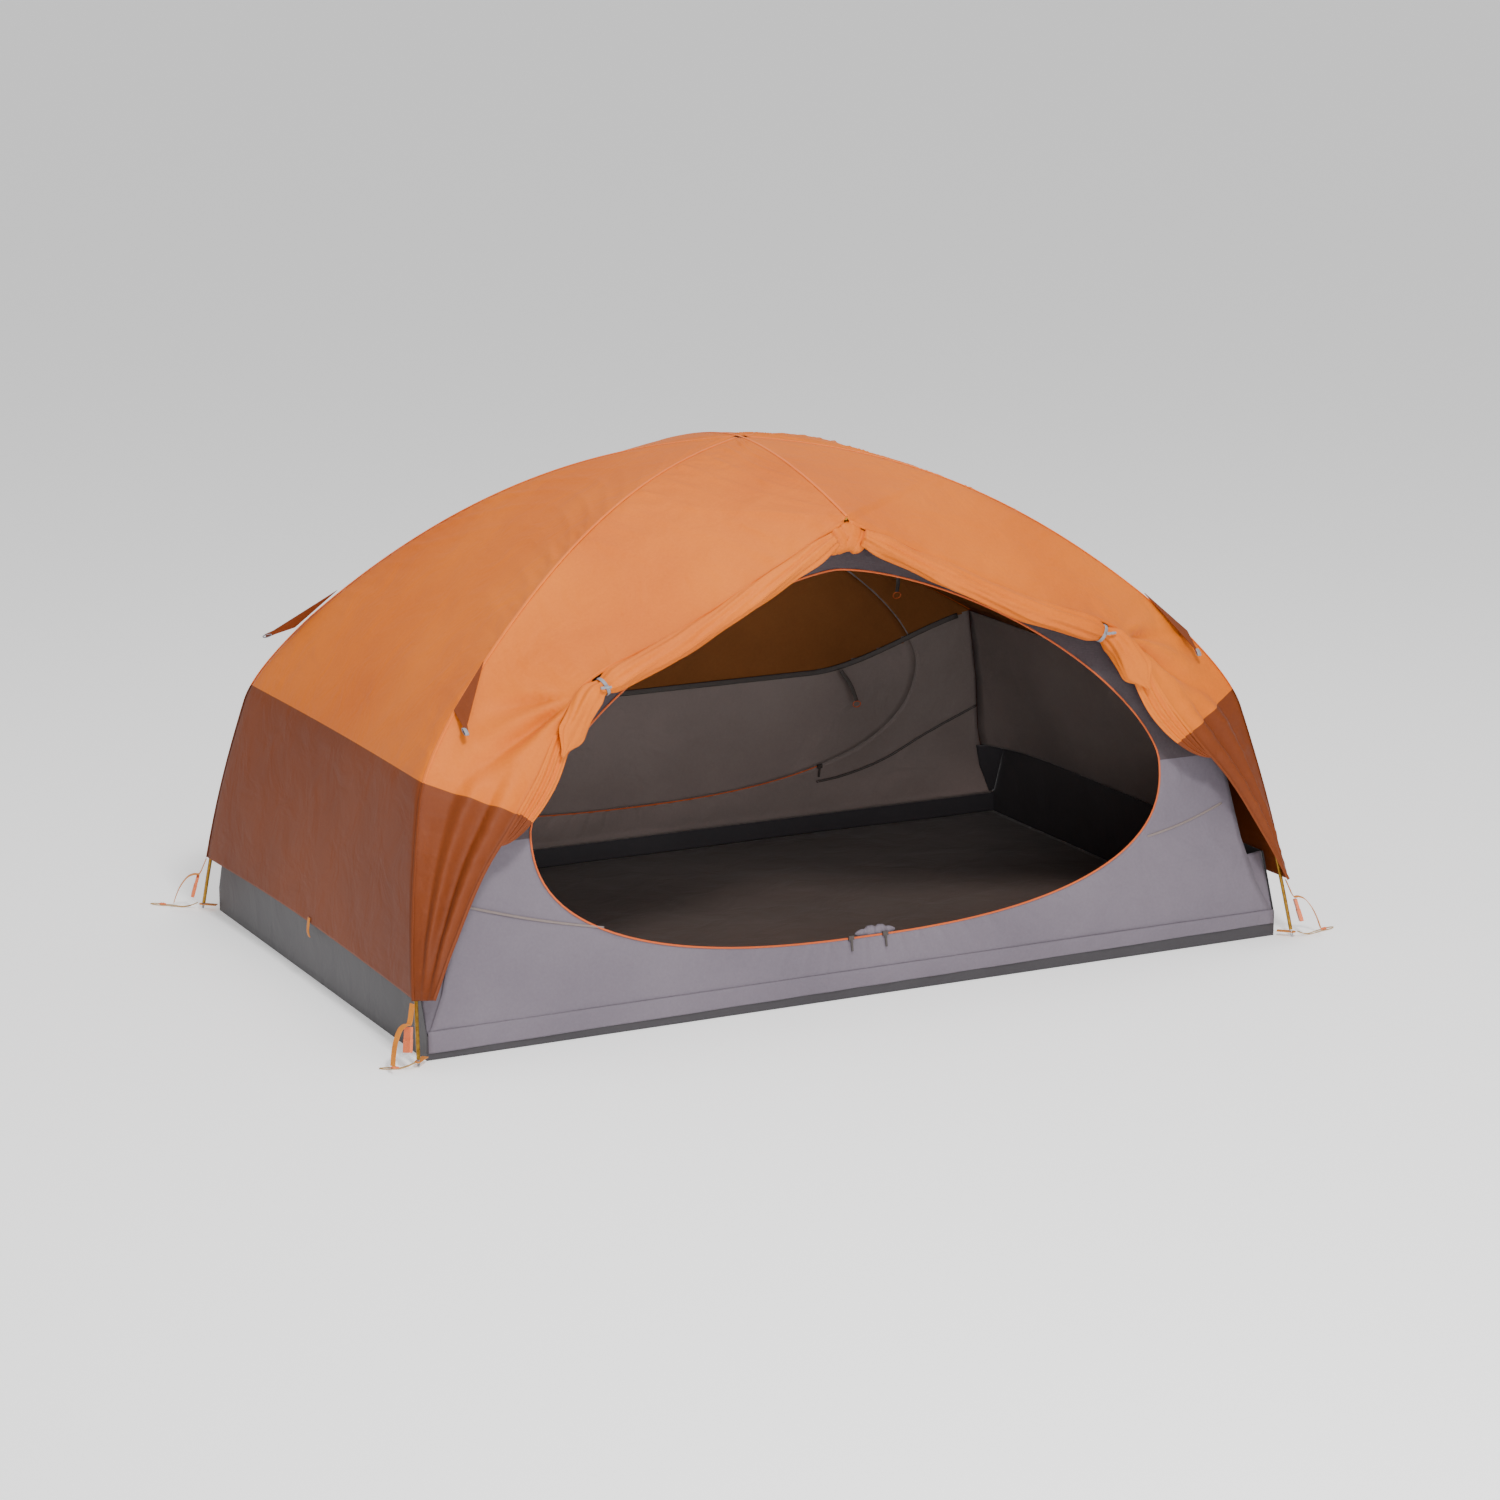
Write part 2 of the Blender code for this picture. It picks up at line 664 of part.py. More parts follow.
def make_walls():
    outline = up_the_wall(wall_outline())
    hole = up_the_wall(door_loop(56))
    flat_outline("inner_front_wall", [outline, hole], wall_frame(-1), FABRIC, WALL_GREY)
    flat_outline("inner_back_wall", [outline, hole], wall_frame(1), FABRIC, WALL_GREY)
    door = up_the_wall(door_loop(56, DOOR_GAP))
    flat_outline("inner_back_door", [door], wall_frame(1), FABRIC, WALL_GREY)
    for side, word in ((-1, "left"), (1, "right")):
        foot = Vector((side * (HALF_LENGTH - TUB_THICKNESS / 2), 0, TUB_END_HEIGHT + 3 * CLEAR))
        top = Vector((side * (WALL_EAVE_X + 0.004), 0, WALL_EAVE_HEIGHT - 0.004))
        climb = (top - foot).length
        low, high = HALF_WIDTH - TUB_TAPER - 0.004, END_EAVE_Y
        right = [(low, 0.0), (low - 0.040, climb * 0.35), (high - 0.012, climb * 0.75), (high, climb)]
        loop = right + [(-y, z) for y, z in reversed(right)]
        flat_outline(f"inner_end_{word}", [loop], axes((0, side, 0), top - foot, foot), FABRIC, WALL_GREY)


def ceiling_pole(t):
    """The ceiling's crease under a pole, from the eave at 0 to the apex at 1."""
    share = 1 - t
    reach = WALL_EAVE_X / (POLE_KNEE.x * CEILING_SCALE)
    flat = Vector((POLE_KNEE.x, POLE_KNEE.y, 0)) * CEILING_SCALE * reach * share
    peak = APEX_HEIGHT - 0.030
    flat.z = peak - (peak - WALL_EAVE_HEIGHT) * share**ARCH_POWER
    return flat


CEILING_RIDGE_T = 0.60


def ceiling_side(t):
    """The ceiling's line along the top of a wall, then under the ridge pole to the apex."""
    if t <= CEILING_RIDGE_T:
        share = 1 - t / CEILING_RIDGE_T
        z = wall_top(share) + 0.003
        return Vector((WALL_EAVE_X * share, wall_y(z), z))
    share = (1 - t) / (1 - CEILING_RIDGE_T)
    top, peak = wall_top(0) + 0.003, APEX_HEIGHT - 0.030
    return Vector((0, wall_y(top) * share, peak - (peak - top) * share**RIDGE_POWER))


def ceiling_facet(start_line, end_line):
    def surface(u, v):
        start, end = start_line(u), end_line(u)
        span = end - start
        middle = Vector((0, 0, KNEE_HEIGHT * 0.5))
        point = start + span * v
        sag = CEILING_SAG * span.length_squared * v * (1 - v)
        return point + (middle - point).normalized() * sag

    return surface


def make_ceiling():
    facets = []
    for side in (-1, 1):

        def front_crease(t, side=side):
            return signed(ceiling_pole(t), side, -1)

        def back_crease(t, side=side):
            return signed(ceiling_pole(t), side, 1)

        def front_edge(t, side=side):
            return signed(ceiling_side(t), side, -1)

        def back_edge(t, side=side):
            return signed(ceiling_side(t), side, 1)

        facets.append(ceiling_facet(front_crease, back_crease))
        facets.append(ceiling_facet(front_edge, front_crease))
        facets.append(ceiling_facet(back_crease, back_edge))
    joined_sheets("inner_ceiling", facets, 15, 4, MESH_BROWN)


def make_dropped_door():
    """The front door's panel, unzipped and lying gathered on the floor behind the sill."""
    shape = bmesh.new()
    bmesh.ops.create_uvsphere(shape, u_segments=16, v_segments=20, radius=0.5)
    mesh = bpy.data.meshes.new("dropped_door")
    shape.to_mesh(mesh)
    shape.free()
    height, depth, width = DROPPED_DOOR_SIZE
    for vert in mesh.vertices:
        vert.co = Vector((vert.co.x * height, vert.co.y * depth, vert.co.z * width))
    item = keep("dropped_door", mesh, WALL_GREY)
    centre = (DROPPED_DOOR_X, DROPPED_DOOR_IN_Y - HALF_WIDTH, TUB_THICKNESS + CLEAR + height / 2)
    item.matrix_world = axes((0, 0, 1), (0, 1, 0), centre)


def on_door(side, x, outside):
    """A frame on a wall's door zip at x: X along the wall, Y up it, Z out of the wall's plane."""
    across = abs(x / DOOR_HALF_WIDTH) ** DOOR_BOTTOM_POWER
    z = DOOR_CENTRE_HEIGHT - DOOR_DROP * (1 - across) ** (1 / DOOR_BOTTOM_POWER)
    frame = wall_frame(side)
    stretch = math.hypot(1, wall_y(0) - wall_y(1))
    lift = FABRIC / 2 + SLIDER_LIFT + SLIDER_SIZE[1] / 2
    towards = outside * lift
    place = frame @ Vector((-side * x, z * stretch, towards))
    turned_frame = frame.copy()
    if outside < 0:
        turned_frame = axes(-frame.col[0].xyz, frame.col[1].xyz, place)
    turned_frame.translation = place
    return turned_frame


def make_sliders():
    slider("front_slider_left", on_door(-1, FRONT_SLIDER_X[0], 1))
    slider("front_slider_right", on_door(-1, FRONT_SLIDER_X[1], 1))
    slider("back_slider", on_door(1, BACK_SLIDER_X, -1))


# ---------------------------------------------------------------- corners

OUTWARD = {
    "front_left": Vector((-0.94, -0.34, 0)),
    "front_right": Vector((0.94, -0.34, 0)),
    "back_left": Vector((-0.94, 0.34, 0)),
    "back_right": Vector((0.94, 0.34, 0)),
}

# Where each stake loop lies: its heading on the ground and its reach from the corner tab.
CORD_LIE = {
    "front_left": (Vector((-0.90, 0.44, 0)), 0.080),
    "front_right": (Vector((0.97, 0.24, 0)), 0.130),
    "back_left": (Vector((-0.72, 0.69, 0)), 0.130),
    "back_right": (Vector((0.90, 0.44, 0)), 0.120),
}


def beside_pole(corner, offset, height):
    """A point offset outward from the pole's leg at a height."""
    side_x, side_y = CORNERS[corner]
    base = signed(pole_point(max(height, 0) / KNEE_HEIGHT), side_x, side_y)
    return base + OUTWARD[corner].normalized() * offset


def ribbon(name, points, across, width, thickness, material):
    """A strap: a strip of width laid along points, given a thickness."""

    def surface(u, v):
        index = int(round(u * (len(points) - 1)))
        return Vector(points[index]) + across * width * (v - 0.5)

    return sheet(name, surface, len(points) - 1, 1, material, thickness)


def make_corner_tab(corner):
    """A webbing tab from the floor's corner to the pole tip, with the tip's eyelet."""
    side_x, side_y = CORNERS[corner]
    tip = signed(pole_point(TAB_HEIGHT / KNEE_HEIGHT), side_x, side_y)
    floor_corner = Vector((side_x * HALF_LENGTH, side_y * HALF_WIDTH, tip.z))
    outward = (tip - floor_corner).normalized()
    half = WEBBING_WIDTH / 2
    start = -(tip - floor_corner).length + half + CLEAR
    outline = [(start, half), (start, -half)]
    for angle in np.linspace(-math.pi / 2, math.pi / 2, 9):
        outline.append((TAB_BEYOND_TIP - half + half * math.cos(angle), half * math.sin(angle)))
    hole = []
    for angle in np.linspace(0, 2 * math.pi, 12, endpoint=False):
        radius = TIP_DIAMETER / 2 + EYELET_CLEARANCE
        hole.append((radius * math.cos(angle), radius * math.sin(angle)))
    frame = axes(outward, Vector((0, 0, 1)).cross(outward), (tip.x, tip.y, TAB_HEIGHT - 0.002))
    flat_outline(f"corner_tab_{corner}", [outline, hole], frame, 0.0018, WEBBING_GOLD)
    return tip, outward


def make_cord(corner, tip, outward):
    """The stake loop: one thin cord out along the ground and back beside itself."""
    heading, reach = CORD_LIE[corner]
    heading = heading.normalized()
    side = Vector((-heading.y, heading.x, 0))
    ground = CORD_DIAMETER / 2 + 0.0004
    root = Vector((tip.x, tip.y, 0)) + outward * (TAB_BEYOND_TIP + CORD_STANDOFF + CORD_DIAMETER / 2)
    route = [
        (0.000, 0.0022, TAB_HEIGHT),
        (0.016, 0.0030, 0.0070),
        (0.034, 0.0035, ground),
        (reach * 0.62, 0.0050, ground),
        (reach - 0.010, 0.0048, ground),
        (reach, 0.0000, ground),
        (reach - 0.010, -0.0048, ground),
        (reach * 0.62, -0.0050, ground),
        (0.034, -0.0035, ground),
        (0.016, -0.0030, 0.0070),
        (0.000, -0.0022, TAB_HEIGHT),
    ]
    points = [root + heading * a + side * b + Vector((0, 0, c)) for a, b, c in route]
    length = 2 * reach
    count = min(76, int(length / (3 * CORD_DIAMETER)) + 2)
    tube(f"stake_cord_{corner}", smooth_route(points, count), CORD_DIAMETER / 2, CORD_ORANGE)


def buckle_line(corner):
    top = beside_pole(corner, 0.0245, 0.0900)
    low = beside_pole(corner, 0.0310, 0.0330)
    return top, (low - top).normalized()


def make_buckle(corner):
    """A side-release buckle: the plug hangs on the fly strap and its prong sits in the socket."""
    top, down = buckle_line(corner)
    across = OUTWARD[corner].cross(Vector((0, 0, 1)))
    frame = axes(down, across, top + down * PLUG_LENGTH / 2)
    size = (PLUG_LENGTH, BUCKLE_WIDTH - 0.001, BUCKLE_THICKNESS - 0.0015)
    plug = block(f"buckle_plug_{corner}", size, frame, BUCKLE_ORANGE)
    reach = PLUG_LENGTH / 2 + PRONG_LENGTH
    size = (reach, BUCKLE_WIDTH - 0.008, BUCKLE_THICKNESS - 0.0045)
    prong = cube_mesh(f"prong_shape_{corner}", size)
    shift = Matrix.Translation((reach / 2, 0, 0))
    combine(plug, cutter(f"prong_{corner}", prong, frame @ shift), "UNION")
    frame = axes(down, across, top + down * (PLUG_LENGTH + BUCKLE_GAP + SOCKET_LENGTH / 2))
    size = (SOCKET_LENGTH, BUCKLE_WIDTH, BUCKLE_THICKNESS)
    socket = block(f"buckle_socket_{corner}", size, frame, BUCKLE_ORANGE)
    depth = PRONG_LENGTH + 0.004
    size = (depth, BUCKLE_WIDTH - 0.007, BUCKLE_THICKNESS - 0.0035)
    mouth = cube_mesh(f"mouth_shape_{corner}", size)
    shift = Matrix.Translation((-(SOCKET_LENGTH - depth) / 2 - 0.001, 0, 0))
    combine(socket, cutter(f"mouth_{corner}", mouth, frame @ shift))


def make_strap(corner):
    """The fly's corner strap down to the plug, and its loose tail curling outward."""
    route = [
        (0.0110, HEM_HEIGHT - 0.0035),
        (0.0155, 0.1180),
        (0.0205, 0.1000),
        (0.0240, 0.0945),
        (0.0300, 0.0960),
        (0.0440, 0.0930),
        (0.0610, 0.0720),
        (0.0710, 0.0420),
        (0.0750, 0.0180),
    ]
    points = [beside_pole(corner, offset, height) for offset, height in route]
    across = OUTWARD[corner].normalized().cross(Vector((0, 0, 1)))
    line = smooth_route(points, 32)
    ribbon(f"fly_strap_{corner}", line, across, WEBBING_WIDTH, WEBBING, WEBBING_GOLD)


GUY_LOW_S = 1.09
GUY_HIGH_S = 1.18
GUY_LIFT = 0.0065
# How each guy tab lies: its loop's place from the tab's lower end.
GUY_LIE = {
    "front_left": Vector((0.005, -0.060, -0.040)),
    "front_right": Vector((-0.005, -0.060, -0.045)),
    "back_left": Vector((-0.070, 0.020, -0.018)),
    "back_right": Vector((0.070, 0.020, -0.018)),
}


def guy_seam(corner):
    side_x, side_y = CORNERS[corner]
    lift = GUY_LIFT
    low = pole_point(GUY_LOW_S) + pole_outward(GUY_LOW_S) * (FLY_OFFSET + lift)
    high = pole_point(GUY_HIGH_S) + pole_outward(GUY_HIGH_S) * (FLY_OFFSET + lift)
    return signed(low, side_x, side_y), signed(high, side_x, side_y)


def make_guy_tab(corner):
    """A triangle of fly cloth sewn to the pole seam, ending in a loop for a guy line."""
    low, high = guy_seam(corner)
    loop = GUY_LIE[corner]
    across = high - low
    frame = axes(across, loop, low)
    inverse = frame.inverted()
    tip = inverse @ (low + loop)
    width = across.length
    direction = Vector((tip.x - width * 0.25, tip.y)).normalized()
    normal = Vector((-direction.y, direction.x))
    end = Vector((tip.x, tip.y))
    start = end - direction * 0.022
    half = 0.0055
    outline = [(0.0, 0.0015), (width, 0.0015)]
    for place, sign in ((start, -1), (end, -1), (end, 1), (start, 1)):
        outline.append(tuple(place + normal * half * sign))
    flat_outline(f"guy_tab_{corner}", [outline], frame, 0.0018, FLY_RUST)


def make_corners():
    for corner in CORNERS:
        tip, outward = make_corner_tab(corner)
        make_cord(corner, tip, outward)
        make_buckle(corner)
        make_strap(corner)
        make_guy_tab(corner)


make_poles()
make_crossing_clip()
make_fly()
make_rolls()
make_vestibule_zip()
make_tub()
make_walls()
make_ceiling()
make_dropped_door()
make_sliders()
make_corners()
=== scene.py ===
"""The looks of a two-person ridge dome tent: fly, rolled doors, inner tent, poles and corner hardware."""
import logging
import math
from dataclasses import dataclass, field
from enum import Enum
from typing import Sequence

import bmesh
import bpy
import numpy as np
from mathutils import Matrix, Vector


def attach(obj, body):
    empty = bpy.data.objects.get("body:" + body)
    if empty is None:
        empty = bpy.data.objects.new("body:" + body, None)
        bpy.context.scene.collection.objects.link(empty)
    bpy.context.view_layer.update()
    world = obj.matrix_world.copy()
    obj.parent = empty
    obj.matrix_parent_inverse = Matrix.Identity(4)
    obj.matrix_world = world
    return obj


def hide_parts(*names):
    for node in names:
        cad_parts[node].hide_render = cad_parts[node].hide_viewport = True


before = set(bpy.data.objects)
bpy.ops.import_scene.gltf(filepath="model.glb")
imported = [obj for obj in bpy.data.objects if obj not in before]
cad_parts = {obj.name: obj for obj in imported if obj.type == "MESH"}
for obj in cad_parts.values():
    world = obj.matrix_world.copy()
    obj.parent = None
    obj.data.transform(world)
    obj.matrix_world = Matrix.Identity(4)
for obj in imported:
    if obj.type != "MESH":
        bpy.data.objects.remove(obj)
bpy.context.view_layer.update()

LOG = logging.getLogger("tent")
TENT = "tent"
CORNERS: dict[str, tuple[int, int]] = {
    "front_left": (-1, -1), "front_right": (1, -1), "back_left": (-1, 1), "back_right": (1, 1),
}
Array = np.ndarray
LEAST_SHARE = 0.301  # least part of its rectangle that a flat cut may fill


class Side(Enum):
    """A side of the tent along X, as the sign of its x."""

    LEFT = -1
    RIGHT = 1

    @property
    def word(self) -> str:
        """The side's word in piece names."""
        return self.name.lower()


class Weave(Enum):
    """How a cloth is woven: threads per metre, and how deep its relief shows."""

    TAFFETA = (900.0, 0.10)
    MESH = (420.0, 0.55)
    WEBBING = (650.0, 0.60)
    COATED = (700.0, 0.05)


# ---------------------------------------------------------------- numpy helpers


def dot(a: Array, b: Array) -> Array:
    """Row by row dot product, kept as a last axis of one."""
    return np.sum(a * b, axis=-1, keepdims=True)


def unit(a: Array) -> Array:
    """Each row over its own length."""
    return a / np.maximum(np.linalg.norm(a, axis=-1, keepdims=True), 1e-12)


def smoothstep(low: float, high: float, value: Array) -> Array:
    """Rises from 0 at low to 1 at high as 3t^2 - 2t^3."""
    t = np.clip((value - low) / (high - low), 0.0, 1.0)
    return t * t * (3 - 2 * t)


def hermite(knots: Sequence[float], values: Array, where: Array) -> Array:
    """A smooth curve through values at knots, by cubic pieces with central slopes.

    Args:
        knots: increasing parameters.
        values: one row for each knot.
        where: parameters to read.

    Returns:
        One row for each of where.
    """
    knots = np.asarray(knots, float)
    values = np.asarray(values, float)
    where = np.asarray(where, float)
    slopes = np.gradient(values, knots, axis=0)
    index = np.clip(np.searchsorted(knots, where) - 1, 0, len(knots) - 2)
    step = (knots[index + 1] - knots[index])[..., None]
    t = (where[..., None] - knots[index][..., None]) / step
    start = values[index] * (1 + 2 * t) * (1 - t) ** 2 + slopes[index] * step * t * (1 - t) ** 2
    end = values[index + 1] * t * t * (3 - 2 * t) + slopes[index + 1] * step * t * t * (t - 1)
    return start + end


def along(points: Array, count: int) -> Array:
    """count points evenly spaced along a smooth curve through points."""
    points = np.asarray(points, float)
    knots = np.concatenate([[0.0], np.cumsum(np.linalg.norm(np.diff(points, axis=0), axis=1))])
    return hermite(knots, points, np.linspace(0.0, knots[-1], count))


def ripple(u: Array, v: Array, seed: int, waves: int, low: float, high: float) -> Array:
    """A smooth random field: a sum of sines whose directions, rates and phases come from seed."""
    rng = np.random.default_rng(seed)
    total = np.zeros(np.broadcast(u, v).shape)
    for _ in range(waves):
        rate, turn, phase = rng.uniform(low, high), rng.uniform(0, math.pi), rng.uniform(0, 2 * math.pi)
        total += np.sin(rate * (u * math.cos(turn) + v * math.sin(turn)) + phase)
    return total / math.sqrt(waves)


def grid_normals(grid: Array) -> Array:
    """Unit normals of a grid of points, from the cross product of its two tangents."""
    return unit(np.cross(np.gradient(grid, axis=0), np.gradient(grid, axis=1)))


# ---------------------------------------------------------------- meshes


def grid_mesh(
    name: str, grid: Array, materials: Sequence[bpy.types.Material], rows_in_second: int = 0,
    wrap: bool = False, outward: Array | None = None, second: Array | None = None,
) -> bpy.types.Object:
    """One object from a grid of points, with a UV map in metres along its two directions.

    Args:
        name: the piece's name.
        grid: points as (rows, columns, 3).
        materials: one or two finishes.
        rows_in_second: how many of the first rows of faces take the second finish.
        wrap: the last column joins the first.
        outward: a point or direction field that faces look away from; None keeps the grid's turn.
        second: a mask of the faces that take the second finish, in place of rows_in_second.

    Returns:
        The new object, at the origin.
    """
    rows, columns = grid.shape[:2]
    if outward is not None and not wrap:
        middle = grid_normals(grid)
        if np.mean(np.sum(middle * (grid - outward), axis=-1)) < 0:
            grid = grid[:, ::-1]
            second = None if second is None else second[:, ::-1]
    index = np.arange(rows * columns).reshape(rows, columns)
    right = np.roll(index, -1, axis=1) if wrap else index[:, 1:]
    left = index if wrap else index[:, :-1]
    faces = np.stack([left[:-1], right[:-1], right[1:], left[1:]], axis=-1)
    levels = np.broadcast_to(np.arange(rows - 1)[:, None], faces.shape[:2])
    chosen = levels < rows_in_second if second is None else second
    faces, chosen = faces.reshape(-1, 4), chosen.reshape(-1)
    used, flat = np.unique(faces, return_inverse=True)
    points = grid.reshape(-1, 3)[used]
    mesh = bpy.data.meshes.new(name)
    mesh.from_pydata(points.tolist(), [], flat.reshape(-1, 4).tolist())
    down = np.zeros((rows, columns))
    down[1:] = np.cumsum(np.linalg.norm(np.diff(grid, axis=0), axis=-1), axis=0)
    over = np.zeros((rows, columns))
    over[:, 1:] = np.cumsum(np.linalg.norm(np.diff(grid, axis=1), axis=-1), axis=1)
    uv = np.stack([over, down], axis=-1).reshape(-1, 2)[used]
    layer = mesh.uv_layers.new(name="cloth")
    layer.data.foreach_set("uv", uv[flat.reshape(-1)].astype(np.float32).ravel())
    for made in materials:
        mesh.materials.append(made)
    if len(materials) > 1:
        mesh.polygons.foreach_set("material_index", chosen.astype(np.int32))
    mesh.polygons.foreach_set("use_smooth", np.ones(len(chosen), bool))
    mesh.update()
    made = bpy.data.objects.new(name, mesh)
    bpy.context.scene.collection.objects.link(made)
    return made


def thicken(piece: bpy.types.Object, thickness: float, offset: float = 0.0) -> None:
    """Gives a cloth its thickness with a Solidify modifier."""
    shell = piece.modifiers.new("thickness", "SOLIDIFY")
    shell.thickness = thickness
    shell.offset = offset


def grid_area(grid: Array) -> float:
    """The area of a grid of points, from the cross products of its cells' diagonals."""
    a = grid[1:, 1:] - grid[:-1, :-1]
    b = grid[1:, :-1] - grid[:-1, 1:]
    return float(np.linalg.norm(np.cross(a, b), axis=-1).sum() / 2)


def declare_sheet(
    piece: bpy.types.Object, grid: Array, band: bool = False,
) -> None:
    """Declares a cloth with the size it was cut to, read from its own surface.

    Args:
        piece: the cloth.
        grid: its points.
        band: whether it is a ring, whose flat size is its middle line by its mean width.
    """
    area = grid_area(grid)
    if band:
        length = float(np.linalg.norm(np.diff(grid.mean(axis=0), axis=0), axis=-1).sum())
        width, flat_area = length, area
        length = area / width
    else:
        width = float(np.linalg.norm(np.diff(grid, axis=1), axis=-1).sum(axis=1).max())
        length = float(np.linalg.norm(np.diff(grid, axis=0), axis=-1).sum(axis=0).max())
        grow = math.sqrt(max(1.0, area / (width * length)))
        width, length = width * grow, length * grow
        flat_area = max(area, LEAST_SHARE * width * length)
    LOG.info("sheet %s cut %.3f x %.3f m, %.3f m2", piece.name, width, length, flat_area)


def sweep(
    name: str, path: Array, up: Array, profile: Array, material: bpy.types.Material, caps: bool = True,
) -> bpy.types.Object:
    """A closed profile carried along a path: each point is path + profile.x * side + profile.y * up.

    Args:
        name: the piece's name.
        path: points, one for each station.
        up: a direction for each station, or one for all.
        profile: (stations or 1, points, 2) offsets across and up.
        material: the finish.
        caps: close the two ends.

    Returns:
        The new object.
    """
    tangent = unit(np.gradient(path, axis=0))
    up = np.broadcast_to(np.asarray(up, float), path.shape)
    up = unit(up - tangent * dot(up, tangent))
    side = np.cross(tangent, up)
    profile = np.broadcast_to(profile, (len(path), *profile.shape[-2:]))
    grid = path[:, None] + profile[..., :1] * side[:, None] + profile[..., 1:] * up[:, None]
    if caps:
        first = np.repeat(grid[:1].mean(axis=1, keepdims=True), grid.shape[1], axis=1)
        last = np.repeat(grid[-1:].mean(axis=1, keepdims=True), grid.shape[1], axis=1)
        grid = np.concatenate([first, grid, last])
    made = grid_mesh(name, grid, [material], wrap=True)
    if caps:
        close_ends(made)
    return made


def close_ends(piece: bpy.types.Object) -> None:
    """Merges the doubled points at a swept piece's ends and turns its faces outward."""
    shape = bmesh.new()
    shape.from_mesh(piece.data)
    bmesh.ops.remove_doubles(shape, verts=shape.verts, dist=1e-6)
    bmesh.ops.recalc_face_normals(shape, faces=shape.faces)
    shape.to_mesh(piece.data)
    shape.free()


def ring(half_width: float, half_height: float, count: int = 10, power: float = 2.0) -> Array:
    """A rounded closed profile: |x/a|^power + |y/b|^power = 1, as (1, count, 2)."""
    angle = np.linspace(0, 2 * math.pi, count, endpoint=False)
    c, s = np.cos(angle), np.sin(angle)
    bend = 2 / power
    x = half_width * np.sign(c) * np.abs(c) ** bend
    y = half_height * np.sign(s) * np.abs(s) ** bend
    return np.stack([x, y], axis=-1)[None]


# ---------------------------------------------------------------- finishes


def linear(colour: Sequence[float]) -> tuple[float, float, float, float]:
    """An sRGB colour of 0 to 255 as linear RGBA."""
    share = np.asarray(colour, float) / 255
    value = np.where(share <= 0.04045, share / 12.92, ((share + 0.055) / 1.055) ** 2.4)
    return (*[float(v) for v in value], 1.0)


